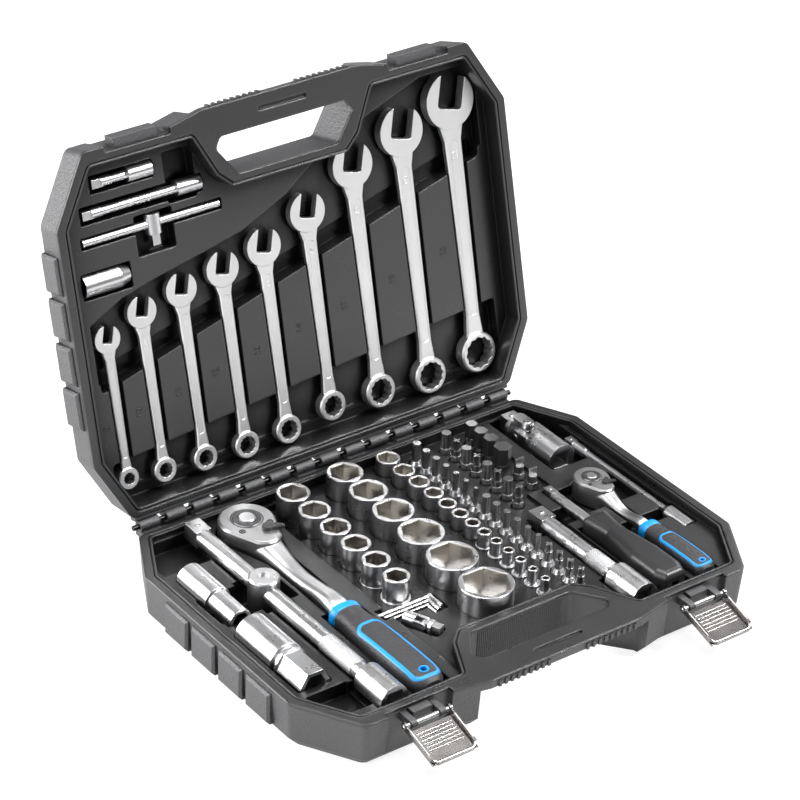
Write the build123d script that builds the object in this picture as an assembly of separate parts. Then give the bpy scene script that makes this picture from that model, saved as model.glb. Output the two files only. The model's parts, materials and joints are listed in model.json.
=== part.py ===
from build123d import *
import os
from math import hypot, sqrt

# Socket wrench set in an open plastic case. Millimetres, +Z up, +Y towards the hinge.
# The origin is the middle of the flat underside of the base.

# Case heights, corner cuts and walls
base_height = 40.0
lid_height = 36.0
front_cut_x = 29.0
front_cut_y = 50.0
back_cut_x = 24.0
back_cut_y = 46.0
corner_radius = 7.0
shell_wall = 2.0
rim_plate = 2.5
wall_draft = 2.0
heel_height = 9.0
heel_inset = 8.0
parting_gap = 0.3
panel_side = 75.0
panel_front = 81.0
panel_back = 61.0

# Rim around the opening
rim_side = 9.0
rim_front = 12.0
rim_back = 6.5
bead_offset = 1.6
bead_width = 1.2
bead_depth = 0.9

# Half-inch drive sockets: size, outside diameter, height
half_left = [(19, 25.0, 38), (18, 24.0, 38), (17, 22.8, 38), (16, 22.0, 38), (15, 21.0, 38), (14, 19.6, 38)]
half_middle = [(21, 27.4, 38), (22, 29.0, 38), (24, 31.0, 39), (27, 34.4, 40), (30, 37.8, 41), (32, 40.0, 42)]
half_left_gap = 2.6
half_middle_gap = 0.9
half_top = 9.5
half_drive = 12.7
half_foot = 21.8
half_hexagon = 0.42

# Quarter-inch drive sockets: size, outside diameter
quarter_sizes = [(14, 18.2), (13, 17.2), (12, 16.4), (11, 15.2), (10, 14.0), (9, 13.0), (8, 12.0),
                 (7, 10.6), (6, 9.4), (5.5, 8.8), (5, 8.2), (4.5, 7.6), (4, 7.0)]
quarter_gap = 2.1
quarter_height = 25.0
quarter_top = 3.5
quarter_drive = 6.35
quarter_foot = 12.0
quarter_hexagon = 0.5

# Widths of the other tools that set the columns
spark_small_radius = 10.6
spark_large_radius = 13.4
bar_radius = 6.6
bar_end_radius = 11.2
adapter_radius = 11.4
big_head_radius = 21.0
bit_socket_diameter = 11.4
spinner_half = 12.6
small_head_radius = 13.5
slim_end_radius = 5.8

# Columns from the left side to the right: each stands off the last by its own gap
spark_room = 7.6
adapter_gap = 7.7
ratchet_gap = 4.9
left_gap = 12.0
middle_gap = 14.8
quarter_column_gap = 14.6
bit_gap = 9.7
short_bar_gap = 11.6
spinner_gap = 3.7
small_ratchet_gap = 3.4
slim_gap = 11.8
slim_room = 2.6
left_half = half_left[0][1] / 2
middle_half = half_middle[-1][1] / 2
quarter_half = quarter_sizes[0][1] / 2
bit_half = bit_socket_diameter / 2
spark_in = rim_side + spark_room + spark_large_radius
bar_in = spark_in + spark_large_radius + adapter_gap + adapter_radius
ratchet_in = bar_in + bar_radius + ratchet_gap + big_head_radius
left_in = ratchet_in + big_head_radius + left_gap + left_half
middle_in = left_in + left_half + middle_gap + middle_half
quarter_in = middle_in + middle_half + quarter_column_gap + quarter_half
bit_in = quarter_in + quarter_half + bit_gap + bit_half
short_in = bit_in + bit_half + short_bar_gap + bar_end_radius
spinner_in = short_in + bar_end_radius + spinner_gap + spinner_half
small_in = spinner_in + spinner_half + small_ratchet_gap + small_head_radius
slim_in = small_in + small_head_radius + slim_gap + slim_end_radius
case_width = slim_in + slim_end_radius + slim_room + rim_side

# Depth: the long bar between its ends, or the row of large sockets behind the handle
long_bar_length = 247.0
bar_room_back = 3.5
bar_room_front = 3.0
handle_depth = 55.0
row_room = 24.0
row_gap = 2.6
row_length = sum(entry[1] for entry in half_middle) - half_middle[0][1] / 2
row_length += half_middle_gap * (len(half_middle) - 1)
bar_depth = rim_front + bar_room_front + long_bar_length + bar_room_back + rim_back
case_depth = max(bar_depth, row_room + row_length + row_gap + handle_depth)
left_side = -case_width / 2
right_side = case_width / 2
back_face = case_depth / 2
front_face = -case_depth / 2

# Carrying handle at the front
handle_bulge = 6.0
handle_root = 95.0
handle_tip = 66.0
grip_back = front_face + 47.0
grip_front = front_face + 17.0
grip_back_half = 44.0
grip_front_half = 60.0
bay_back = front_face + handle_depth
bay_back_half = 50.0
bay_front_half = 78.0
bay_shoulder = 12.0
bay_slant = 11.0
grip_bar = 7.0
notch_half = 74.0
notch_lip = 8.0
grip_ribs = 9
grip_mark_half = 21.0
grip_mark_y = front_face + 5.0
grip_rib_first = 17.0
grip_rib_pitch = 5.3
grip_rib_width = 2.2
grip_rib_proud = 1.0

# Ribbed pads on the side walls
pad_count = 4
pad_pitch = 33.4
pad_length = 28.4
pad_first = back_face - 88.25
pad_proud = 2.6
pad_chamfer = 1.8

# Hinge along the back
hinge_out = 7.7
hinge_up = 2.0
hinge_pin_radius = 2.0
hinge_half = right_side - back_cut_x
knuckle_radius = 4.4
knuckle_count = 15
knuckle_gap = 6.6
knuckle_pitch = (2 * hinge_half - 3.0) / knuckle_count
knuckle_length = knuckle_pitch - knuckle_gap
shelf_drop = 3.0
lid_open_angle = 104.4
press = 0.01
running = 0.07

# Latches at the front
latch_x = right_side - 73.5
latch_out = 7.0
latch_down = 7.0
latch_pin_radius = 1.75
latch_pin_length = 41.0
latch_arm_x = 12.0
latch_arm_width = 5.0
latch_width = 38.0
latch_reach = 34.5
latch_sheet = 1.2
latch_flange = 3.4
latch_slope = 17.0
latch_ribs = 6
latch_rib_pitch = 3.0
bay_half = 27.0
bay_deep = 4.5
hook_half = 18.0
hook_proud = 3.4

# Trays
tray_wall = 1.6
deck_left = 5.0
deck_middle = 8.5
deck_right = 6.0
deck_lid = 15.0
pocket_play = 0.7
seat_gap = 0.3
trough_floor = 20.0
rear_floor = 14.0

# Places of the standing sockets and bits
half_left_x = left_side + left_in
half_left_y = back_face - 25.4
half_middle_x = left_side + middle_in
half_middle_y = back_face - row_room
quarter_x = left_side + quarter_in
quarter_y = back_face - 18.0
bit_socket_count = 17
bit_socket_x = left_side + bit_in
bit_socket_y = back_face - 20.5
bit_socket_pitch = 12.2
bit_socket_body = 19.0
bit_socket_length = 37.0
bit_top = 9.0
bit_length = 30.0
bit_shank = 8.0
bit_play = 0.3
bit_row_x = bit_socket_x + 27.4
bit_row_y = back_face - 21.0
bit_row_pitch = 12.6
bit_row_count = 8
large_bit_x = bit_row_x + 23.9

# Large bits: distance from the back, width over flats, none for a flat blade
large_bits = [(21.0, 8.0), (32.6, 9.0), (44.6, 10.0), (59.2, 12.0), (79.5, 0.0), (95.2, 0.0)]

# Ratchet heads taper to the neck over this many head radii
head_taper = 2.1
head_bore = 0.52

# Half-inch ratchet
big_ratchet_x = left_side + ratchet_in
big_head_y = back_face - 32.5
big_head_top = 7.0
big_head_thick = 25.0
big_neck_half = 8.0
big_grip_end = front_face + 15.0
big_grip_start = big_grip_end + 107.0
big_grip_half = 14.5
big_grip_thick = 23.0
big_grip_depth = 6.5
big_drive_length = 13.0
big_drive_floor = 34.8

# Quarter-inch ratchet
small_ratchet_x = left_side + small_in
small_head_y = front_face + 149.5
small_head_top = 4.0
small_head_thick = 18.0
small_neck_half = 4.6
small_grip_end = front_face + 17.0
small_grip_start = small_grip_end + 69.0
small_grip_half = 10.2
small_grip_thick = 17.0
small_grip_depth = 6.5
small_drive_length = 8.0
small_drive_floor = 28.0

# Half-inch extension bars, sliding three-way adapter, spark plug sockets
bar_knurl = 0.4
bar_end_length = 31.0
bar_square_length = 15.0
long_bar_x = left_side + bar_in
long_bar_back = back_face - rim_back - bar_room_back
long_bar_front = long_bar_back - long_bar_length
long_bar_depth = 1.5
long_knurl = (79.0, 41.0)
short_bar_x = left_side + short_in
short_bar_front = front_face + 19.0
short_bar_back = short_bar_front + 125.0
short_bar_depth = 6.5
short_knurl = (60.0, 37.0)
adapter_y = long_bar_back - 92.0
adapter_top = 9.5
adapter_height = 36.0
adapter_travel = 10.0
spark_x = left_side + spark_in
spark_small_y = (back_face - 56.0, back_face - 122.0)
spark_large_y = (back_face - 134.0, back_face - 211.0)
spark_depth = 4.6

# Half-inch universal joint
joint_x = small_ratchet_x + 7.5
joint_back = back_face - 11.5
joint_front = joint_back - 67.5
joint_middle = joint_back - 24.5
joint_radius = 12.2
joint_depth = 7.0
joint_pin_radius = 2.6
joint_cross = 9.6
joint_fork_gap = 5.4
joint_travel_side = 2.0

# Quarter-inch long bar, spinner handle, small universal joint and hexagon keys
slim_x = left_side + slim_in
slim_back = back_face - 57.0
slim_front = slim_back - 143.0
slim_depth = 10.0
slim_radius = 3.0
slim_collar = 3.9
slim_end_length = 24.0
spinner_x = left_side + spinner_in
spinner_tip = front_face + 165.0
spinner_grip_back = front_face + 111.0
spinner_grip_front = front_face + 18.0
spinner_depth = 6.0
spinner_shank_radius = 4.0
small_joint_a = (half_left_x - 11.5, back_face - 179.0)
small_joint_turn = 24.0
small_joint_length = 29.0
small_joint_depth = 6.5
key_sizes = [3.0, 2.5, 2.0]
key_x = (half_left_x - 25.5, half_left_x + 20.0)
key_y = back_face - 165.5
key_short = 16.0
key_pitch = 3.6
key_depth = 8.0

# Edges between the decks of the base tray
left_edge = big_ratchet_x + big_head_radius + 5.0
right_edge_back = joint_x - 30.0
right_edge_front = spinner_x - 15.0
right_step = spinner_tip + 4.0

# Combination wrenches in the lid: size, distance from the left side, length, ring from the back
wrench_set = [(22, 350.5, 200.0, 27.0), (19, 304.0, 193.0, 22.0), (17, 257.5, 177.4, 23.6),
              (14, 213.7, 151.6, 25.0), (13, 173.0, 142.2, 18.8), (12, 136.0, 136.3, 18.2),
              (11, 99.8, 129.5, 19.5), (10, 65.3, 121.0, 21.0), (8, 34.8, 106.0, 24.0)]
wrenches = [(size, left_side + along, back_face - ring - length, back_face - ring)
            for size, along, length, ring in wrench_set]
wrench_depth = 18.2
wrench_play = 2.2
jaw_play = 2.6
panel_depth = 0.4
trough_left = left_side + 23.0
trough_right = right_side - 19.0
ring_bay = back_face - 51.7
ring_bay_slope = 0.0805
finger_trough = (back_face - 148.2, back_face - 135.0)
finger_slope = 0.2512
ring_floor = 25.0
head_floor = ring_floor
finger_floor = 29.0
ring_rail = (back_face - 17.0, back_face - 13.0)
ring_rail_half = right_side - 37.0
ring_rail_depth = 24.3

# Quarter-inch bars in the lid: two ends and the distance from the front
lid_bar_depth = 17.4
lid_bar_radius = 3.4
lid_bar_end = 5.9
lid_bar_short = (left_side + 40.0, left_side + 89.0, front_face + 29.0)
lid_bar_long = (left_side + 29.0, left_side + 127.0, front_face + 49.5)
tee_bar = (left_side + 26.0, left_side + 141.0, front_face + 69.0)
tee_radius = 3.1
slider_x = left_side + 85.0
slider_travel = 9.0
bar_finger = (left_side + 99.0, left_side + 124.0, front_face + 20.4, front_face + 58.5)
lid_spark = (left_side + 22.0, left_side + 60.0, front_face + 100.0)
lid_spark_radius = 8.8
lid_spark_depth = 20.0

rim_z = base_height
hinge_y = back_face + hinge_out
hinge_z = rim_z + hinge_up
latch_y = front_face - latch_out
latch_z = rim_z - latch_down
hinge_line = Axis((0, hinge_y, hinge_z), (1, 0, 0))


# Small shape helpers
def pear(x, y, radius, neck):
    return make_hull(disc(x, y, radius).edges() + disc(x, y - head_taper * radius, neck).edges())


def flat(points, radius=0.0):
    face = make_face(Polyline(*points, close=True))
    if radius > 0:
        face = fillet(face.vertices(), radius)
    return face


def oblong(x0, x1, y0, y1, radius=0.0):
    low_x, high_x = min(x0, x1), max(x0, x1)
    low_y, high_y = min(y0, y1), max(y0, y1)
    return flat([(low_x, low_y), (high_x, low_y), (high_x, high_y), (low_x, high_y)], radius)


def disc(x, y, radius):
    return Pos(x, y) * Circle(radius)


def slab(shape, z0, z1):
    return extrude(Pos(0, 0, min(z0, z1)) * shape, amount=abs(z1 - z0), dir=(0, 0, 1))


def block(x0, x1, y0, y1, z0, z1):
    middle = Pos((x0 + x1) / 2, (y0 + y1) / 2, (z0 + z1) / 2)
    return middle * Box(abs(x1 - x0), abs(y1 - y0), abs(z1 - z0))


def post(x, y, z0, z1, radius):
    return Pos(x, y, (z0 + z1) / 2) * Cylinder(radius, abs(z1 - z0))


def round_x(x0, x1, y, z, radius):
    return Pos((x0 + x1) / 2, y, z) * Rot(0, 90, 0) * Cylinder(radius, abs(x1 - x0))


def round_y(x, y0, y1, z, radius):
    return Pos(x, (y0 + y1) / 2, z) * Rot(90, 0, 0) * Cylinder(radius, abs(y1 - y0))


def cone_y(x, y0, y1, z, radius0, radius1):
    turn = Rot(-90, 0, 0) if y1 > y0 else Rot(90, 0, 0)
    return Pos(x, (y0 + y1) / 2, z) * turn * Cone(radius0, radius1, abs(y1 - y0))


def hexagon(x, y, flats, turn=0.0):
    return Pos(x, y) * RegularPolygon(flats / sqrt(3), 6, rotation=turn)


def prism_y(x, y0, y1, z, flats):
    face = Plane((x, min(y0, y1), z), x_dir=(1, 0, 0), z_dir=(0, 1, 0)) * RegularPolygon(flats / sqrt(3), 6)
    return extrude(face, amount=abs(y1 - y0))


def rounded_at(x, y, z0, z1, half):
    high = z1 - z0
    corner = min(high, 2 * half) * 0.42
    middle = Plane((x, y, (z0 + z1) / 2), x_dir=(1, 0, 0), z_dir=(0, -1, 0))
    return middle * RectangleRounded(2 * half, high, corner)


def bundle(pieces):
    return Compound(children=[solid for piece in pieces for solid in piece.solids()])


def base_level(depth):
    return rim_z - depth


def lid_level(depth):
    return rim_z + parting_gap + depth


def opened(shape):
    return shape.rotate(hinge_line, -lid_open_angle)


# Case outlines, seen from above
def corners(side, front, back):
    front_slant = hypot(front_cut_x, front_cut_y)
    back_slant = hypot(back_cut_x, back_cut_y)
    front_line = front_cut_y * (right_side - front_cut_x) + front_cut_x * back_face - side * front_slant
    back_line = back_cut_y * right_side + back_cut_x * (back_face - back_cut_y) - side * back_slant
    x_side = right_side - side
    y_front = front_face + front
    y_back = back_face - back
    return [((front_line + front_cut_x * y_front) / front_cut_y, y_front),
            (x_side, (front_cut_y * x_side - front_line) / front_cut_x),
            (x_side, (back_line - back_cut_y * x_side) / back_cut_x),
            ((back_line - back_cut_x * y_back) / back_cut_y, y_back)]


def outline(inset):
    right = corners(inset, inset, inset)
    y_front = right[0][1]
    bulge = [(-handle_root, y_front), (-handle_tip, y_front - handle_bulge),
             (handle_tip, y_front - handle_bulge), (handle_root, y_front)]
    left = [(-x, y) for x, y in reversed(right)]
    return flat(bulge + right + left, corner_radius)


def grip_hole():
    shoulder = grip_front + 8.0
    toe = grip_front_half - 5.0
    return flat([(-grip_back_half, grip_back), (-grip_front_half, shoulder), (-toe, grip_front),
                 (toe, grip_front), (grip_front_half, shoulder), (grip_back_half, grip_back)], 4.5)


def grip_notch():
    shoulder = grip_front + 8.0
    lip = front_face + notch_lip
    out = front_face - handle_bulge - 10.0
    return flat([(-grip_back_half, grip_back), (-grip_front_half, shoulder), (-notch_half, lip),
                 (-notch_half, out), (notch_half, out), (notch_half, lip), (grip_front_half, shoulder),
                 (grip_back_half, grip_back)], 4.5)


def opening():
    right = corners(rim_side, rim_front, rim_back)
    left = [(-x, y) for x, y in reversed(right)]
    y_front = right[0][1]
    shoulder = (bay_back_half + bay_shoulder, bay_back - bay_slant)
    bay = [(-bay_front_half, y_front), (-shoulder[0], shoulder[1]), (-bay_back_half, bay_back),
           (bay_back_half, bay_back), shoulder, (bay_front_half, y_front)]
    return flat(bay + right + left, 3.5)


# Case halves
def latch_bays(level, height, grow):
    half = bay_half + grow
    return [block(side * latch_x - half, side * latch_x + half, front_face - 20, front_face + bay_deep + grow,
                  level(-1), level(height + 1)) for side in (-1, 1)]


def hollow_half(level, height):
    bend = height - heel_height
    thick = shell_wall
    foot = wall_draft + heel_inset
    top = Pos(0, 0, level(rim_plate))
    waist = Pos(0, 0, level(bend))
    outer = loft([top * outline(0), waist * outline(wall_draft)], ruled=True)
    outer += loft([waist * outline(wall_draft), Pos(0, 0, level(height)) * outline(foot)], ruled=True)
    inner = loft([top * outline(thick), waist * outline(wall_draft + thick)], ruled=True)
    low = Pos(0, 0, level(height - thick)) * outline(foot + thick - 1)
    inner += loft([waist * outline(wall_draft + thick), low], ruled=True)
    outer = outer.cut(*latch_bays(level, height, 0))
    inner = inner.cut(*latch_bays(level, height, thick))
    # Under the bar of the handle the wall steps back around the fingers
    fingers = slab(offset(grip_notch(), thick), level(grip_bar - thick), level(height)) & outer
    collar = slab(offset(grip_hole(), thick), level(rim_plate), level(height))
    half = (outer - inner).fuse(fingers, collar)
    half -= slab(grip_notch(), level(grip_bar), level(height + 1))
    return half - slab(grip_hole(), level(0), level(height + 1))


def side_pads(level, height):
    pads = []
    low = level(height - heel_height - 1)
    for side in (-1, 1):
        outer = side * (right_side + pad_proud)
        inner = side * (right_side - wall_draft - 1.5)
        for index in range(pad_count):
            y = pad_first - index * pad_pitch
            pad = block(inner, outer, y - pad_length / 2, y + pad_length / 2, level(5), low)
            face = pad.faces().sort_by(Axis.X)[-1 if side > 0 else 0]
            pads.append(chamfer(face.edges(), pad_chamfer))
    return pads


def handle_ribs(level):
    ribs = []
    face = front_face - handle_bulge
    half = grip_rib_width / 2
    for side in (-1, 1):
        for index in range(grip_ribs):
            x = side * (grip_rib_first + index * grip_rib_pitch)
            ribs.append(block(x - half, x + half, face - grip_rib_proud, face + 2.0,
                              level(rim_plate), level(grip_bar)))
    return ribs


def knuckle_x(index):
    return (index - (knuckle_count - 1) / 2) * knuckle_pitch


def knuckles(first, level, bore):
    made = []
    for index in range(first, knuckle_count, 2):
        x0 = knuckle_x(index) - knuckle_length / 2
        x1 = knuckle_x(index) + knuckle_length / 2
        barrel = round_x(x0, x1, hinge_y, hinge_z, knuckle_radius)
        web = block(x0, x1, back_face - 1.2, hinge_y, level(rim_plate + 0.2), level(rim_plate + 7.0))
        neck = block(x0, x1, back_face + 1.6, hinge_y, level(0.8), level(rim_plate + 0.4))
        made.append(barrel + web + neck - round_x(x0 - 1, x1 + 1, hinge_y, hinge_z, bore))
    return made


def hinge_shelf():
    end = knuckle_x(knuckle_count - 1) + knuckle_length / 2
    return block(-end, end, back_face - 1.2, hinge_y + knuckle_radius - 0.4,
                 base_level(shelf_drop + 3.5), base_level(shelf_drop))


def latch_mount(side):
    x = side * latch_x
    wall = front_face + bay_deep + 1.0
    half = latch_arm_width / 2
    arms = []
    for shift in (-latch_arm_x, latch_arm_x):
        arm = block(x + shift - half, x + shift + half, latch_y, wall, latch_z - 3, latch_z + 3)
        arm += round_x(x + shift - half, x + shift + half, latch_y, latch_z, 3.0)
        arms.append(arm - round_x(x - 30, x + 30, latch_y, latch_z, latch_pin_radius - press))
    arms.append(block(x - 8, x + 8, front_face - 2.2, wall, base_level(8.5), base_level(rim_plate)))
    return arms


def base_shell():
    shell = hollow_half(base_level, base_height)
    shell = shell.fuse(*side_pads(base_level, base_height), *handle_ribs(base_level))
    mounts = latch_mount(-1) + latch_mount(1)
    return shell.fuse(*mounts, hinge_shelf(), *knuckles(0, base_level, hinge_pin_radius - press))


def lid_hooks():
    hooks = []
    for side in (-1, 1):
        x = side * latch_x
        hooks.append(block(x - hook_half, x + hook_half, front_face - hook_proud, front_face + bay_deep + 1.0,
                           lid_level(rim_plate), lid_level(14)))
    return hooks


def lid_shell():
    shell = hollow_half(lid_level, lid_height)
    shell = shell.fuse(*side_pads(lid_level, lid_height), *handle_ribs(lid_level), *lid_hooks())
    shell = shell.fuse(*knuckles(1, lid_level, hinge_pin_radius + running))
    panel = oblong(left_side + panel_side, right_side - panel_side, front_face + panel_front,
                   back_face - panel_back, 10)
    return opened(shell - slab(panel, lid_level(lid_height - 1.0), lid_level(lid_height + 1)))


def rim_ring(level, height):
    ring = slab(outline(0) - opening() - grip_hole(), level(0), level(rim_plate))
    groove = offset(opening(), bead_offset + bead_width) - offset(opening(), bead_offset)
    ring = ring.cut(*latch_bays(level, height, 0))
    grip_mark = oblong(-grip_mark_half, grip_mark_half, grip_mark_y - 1.6, grip_mark_y + 1.6, 1.5)
    return ring - slab(groove, level(-1), level(bead_depth)) - slab(grip_mark, level(-1), level(1.4))


def cups(level, wells):
    outers, inners = [], []
    for shape, top, floor in wells:
        outers.append(slab(offset(shape, tray_wall), level(top), level(floor + tray_wall)))
        inners.append(slab(shape, level(-1), level(floor)))
    return outers, inners


# Pockets of the base tray: outline, deck above, floor
def left_zone():
    return opening() & oblong(left_side, left_edge, front_face, back_face)


def right_zone():
    return opening() & flat([(right_edge_front, front_face), (right_side, front_face), (right_side, back_face),
                             (right_edge_back, back_face), (right_edge_back, right_step),
                             (right_edge_front, right_step)])


def middle_zone():
    return opening() - left_zone() - right_zone()


def base_zones():
    return [(left_zone(), rim_plate, deck_left), (middle_zone(), rim_plate, deck_middle),
            (right_zone(), rim_plate, deck_right)]


# Deep troughs where fingers reach under the tools
def troughs():
    reach = oblong(left_side + 17.0, big_ratchet_x - 13.0, back_face - 118.0, back_face - 83.5, 2.0)
    rear = oblong(left_side + 15.0, long_bar_x + 10.5, back_face - 47.6, back_face - 8.0, 2.0)
    corner = oblong(left_side + 17.0, long_bar_x - bar_end_radius, front_face + 23.0, front_face + 54.0, 2.0)
    row = oblong(left_edge + 2.0, half_left_x + left_half + 1.0, back_face - 59.0, back_face - 9.0, 2.0)
    joint_bay = oblong(joint_x - 16.0, right_side - 13.0, back_face - 89.0, back_face - 9.0, 2.0)
    head_bay = oblong(small_ratchet_x - 23.5, small_ratchet_x + 24.5,
                      small_head_y - 25.5, small_head_y + 10.5, 2.0)
    neck_bay = oblong(small_ratchet_x - 12.5, small_ratchet_x + 25.5,
                      small_head_y - 61.5, small_head_y - 49.5, 2.0)
    bar_bay = oblong(short_bar_x - 12.0, spinner_x + 6.0, spinner_tip - 44.0, spinner_tip - 24.5, 2.0)
    return [
        (reach, deck_left, trough_floor),
        (rear, deck_left, trough_floor - 4.0),
        (corner, deck_left, trough_floor - 4.0),
        (row, deck_middle, rear_floor),
        (joint_bay, deck_right, joint_depth + joint_radius + seat_gap),
        (head_bay, deck_right, small_head_thick - small_head_top + seat_gap),
        (neck_bay, deck_right, small_grip_depth + small_grip_thick / 2 + seat_gap),
        (bar_bay & middle_zone(), deck_middle, trough_floor - 2.0),
        (bar_bay & right_zone(), deck_right, trough_floor - 2.0),
    ]


def socket_spots(table, x, y, gap, foot):
    spots = []
    for index, entry in enumerate(table):
        wide = max(entry[1], foot)
        if index:
            y -= (wide + last) / 2 + gap
        spots.append((x, y, wide))
        last = wide
    return spots


def half_spots():
    left = socket_spots(half_left, half_left_x, half_left_y, half_left_gap, half_foot)
    middle = socket_spots(half_middle, half_middle_x, half_middle_y, half_middle_gap, half_foot)
    return list(zip(half_left + half_middle, left + middle))


def quarter_spots():
    spots = socket_spots(quarter_sizes, quarter_x, quarter_y, quarter_gap, quarter_foot)
    return list(zip(quarter_sizes, spots))


def standing_wells():
    wells = []
    for (size, wide, height), (x, y, foot) in half_spots():
        wells.append((disc(x, y, foot / 2 + pocket_play * 0.7), deck_middle, height - half_top + seat_gap))
    for size, (x, y, foot) in quarter_spots():
        wells.append((disc(x, y, foot / 2 + pocket_play), deck_middle, quarter_height - quarter_top + seat_gap))
    for index in range(bit_socket_count):
        y = bit_socket_y - index * bit_socket_pitch
        hole = disc(bit_socket_x, y, bit_socket_diameter / 2 + bit_play)
        wells.append((hole, deck_middle, bit_socket_length - bit_top + 0.1))
    for x, y in bit_places():
        wells.append((disc(x, y, bit_shank / sqrt(3) + bit_play), deck_middle, bit_length - bit_top + 0.1))
    return wells


def bit_places():
    row = [(bit_row_x, bit_row_y - index * bit_row_pitch) for index in range(bit_row_count)]
    return row + [(large_bit_x, back_face - along) for along, flats in large_bits]


def lying_well(x, half, y0, y1, deck, floor, radius=0.8):
    return (oblong(x - half, x + half, y0, y1, radius), deck, floor)


def left_wells():
    play = pocket_play
    bar_half = bar_radius + bar_knurl
    bar_floor = long_bar_depth + bar_half + seat_gap
    end_floor = long_bar_depth + bar_end_radius + seat_gap
    head_floor = big_head_thick - big_head_top + seat_gap
    grip_floor = big_grip_depth + big_grip_thick / 2 + seat_gap
    neck_floor = big_grip_depth + big_neck_half * 0.9 + seat_gap
    roam = adapter_radius + adapter_travel + play
    end_back = long_bar_front + bar_end_length + 6
    small_floor = spark_depth + spark_small_radius + seat_gap
    large_floor = spark_depth + spark_large_radius + seat_gap
    head = pear(big_ratchet_x, big_head_y, big_head_radius, big_neck_half)
    neck_back = big_head_y - big_head_radius * 1.6
    return [
        lying_well(long_bar_x, bar_half + play, long_bar_back + play, long_bar_front - play, deck_left,
                   bar_floor),
        lying_well(long_bar_x, bar_end_radius + play, end_back, long_bar_front - play, deck_left, end_floor),
        lying_well(long_bar_x, adapter_radius + play, adapter_y - roam, adapter_y + roam, deck_left,
                   adapter_height - adapter_top + seat_gap),
        (offset(head, 1.3), deck_left, head_floor),
        (disc(big_ratchet_x, big_head_y, big_head_radius * head_bore + 0.6), deck_left, big_drive_floor),
        lying_well(big_ratchet_x, big_neck_half + 2.5, neck_back, big_grip_start, deck_left, neck_floor),
        lying_well(big_ratchet_x, big_grip_half + 1.2, big_grip_start + 3, big_grip_end - 1.2, deck_left,
                   grip_floor),
        lying_well(spark_x, spark_small_radius + play, spark_small_y[0] + play, spark_small_y[1] - play,
                   deck_left, small_floor),
        lying_well(spark_x, spark_large_radius + play, spark_large_y[0] + play, spark_large_y[1] - play,
                   deck_left, large_floor),
    ]


def middle_wells():
    play = pocket_play
    x, y = small_joint_a
    hub = Pos(x, y) * Rot(0, 0, small_joint_turn)
    joint_well = hub * oblong(-6.4, 6.4, play, -small_joint_length - play, 2.0)
    key_low = key_y - len(key_sizes) * key_pitch
    key_floor = key_depth + 2.2 + seat_gap
    bar_half = bar_radius + bar_knurl
    end_back = short_bar_front + bar_end_length + 6
    return [
        (joint_well, deck_middle, small_joint_depth + 5.6 + seat_gap),
        (oblong(key_x[0] - 1.5, key_x[1] + 3.5, key_y + 3.0, key_low, 1.5), deck_middle, key_floor),
        (oblong(key_x[1] - 9, key_x[1] + 3.5, key_y + 3.0, key_y - key_short - 2.5, 1.5), deck_middle,
         key_floor),
        lying_well(short_bar_x, bar_half + play, short_bar_back + play, short_bar_front - play, deck_middle,
                   short_bar_depth + bar_half + seat_gap),
        lying_well(short_bar_x, bar_end_radius + play, end_back, short_bar_front - play, deck_middle,
                   short_bar_depth + bar_end_radius + seat_gap),
    ]


def right_wells():
    play = pocket_play
    head_floor = small_head_thick - small_head_top + seat_gap
    joint_floor = joint_depth + joint_radius + seat_gap
    grip_floor = small_grip_depth + small_grip_thick / 2 + seat_gap
    neck_floor = small_grip_depth + small_neck_half * 0.9 + seat_gap
    wide_back = joint_radius + joint_travel_side
    spinner_half_well = spinner_half + 1.2
    head = pear(small_ratchet_x, small_head_y, small_head_radius, small_neck_half)
    neck_back = small_head_y - small_head_radius * 1.7
    slim_floor = slim_depth + slim_collar + seat_gap
    slim_end_floor = slim_depth + slim_end_radius + seat_gap
    return [
        lying_well(joint_x, joint_radius + play, joint_middle, joint_front - play, deck_right, joint_floor),
        lying_well(joint_x, wide_back, joint_middle - 10, joint_back + 2.0, deck_right, joint_floor),
        lying_well(slim_x, slim_collar + 0.9, slim_back + play, slim_front - play, deck_right, slim_floor),
        lying_well(slim_x, slim_end_radius + 0.6, slim_front + slim_end_length + 6, slim_front - play,
                   deck_right, slim_end_floor),
        (offset(head, 1.1), deck_right, head_floor),
        (disc(small_ratchet_x, small_head_y, small_head_radius * head_bore + 0.6), deck_right,
         small_drive_floor),
        lying_well(small_ratchet_x, small_neck_half + 2, neck_back, small_grip_start, deck_right, neck_floor),
        lying_well(small_ratchet_x, small_grip_half + 1, small_grip_start + 3, small_grip_end - 1, deck_right,
                   grip_floor),
        lying_well(spinner_x, spinner_shank_radius + 1, spinner_tip + play, spinner_grip_back - 3, deck_right,
                   spinner_depth + spinner_shank_radius + 0.2 + seat_gap),
        lying_well(spinner_x, spinner_half_well, spinner_grip_back + 1, spinner_grip_front - 1.2, deck_right,
                   spinner_depth + spinner_half + seat_gap),
    ]


def tray(level, height, zones, wells):
    room = opening()
    inside = [(shape & room, top, floor) for shape, top, floor in wells]
    zone_outer, zone_inner = cups(level, zones)
    well_outer, well_inner = cups(level, inside)
    body = rim_ring(level, height).fuse(*zone_outer, *well_outer)
    return body.cut(*zone_inner, *well_inner)


def base_tray():
    wells = standing_wells() + left_wells() + middle_wells() + right_wells() + troughs()
    return tray(base_level, base_height, base_zones(), wells)


# Wrench sizes that follow from the jaw size
def jaw_radius(size):
    return 0.80 * size + 4.0


def ring_radius(size):
    return 0.54 * size + 4.0


def shank_half(size):
    return 0.23 * size + 2.0


def jaw_thick(size):
    return 0.30 * size + 2.0


def ring_thick(size):
    return 0.36 * size + 3.0


def shank_thick(size):
    return 0.16 * size + 2.8


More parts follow.
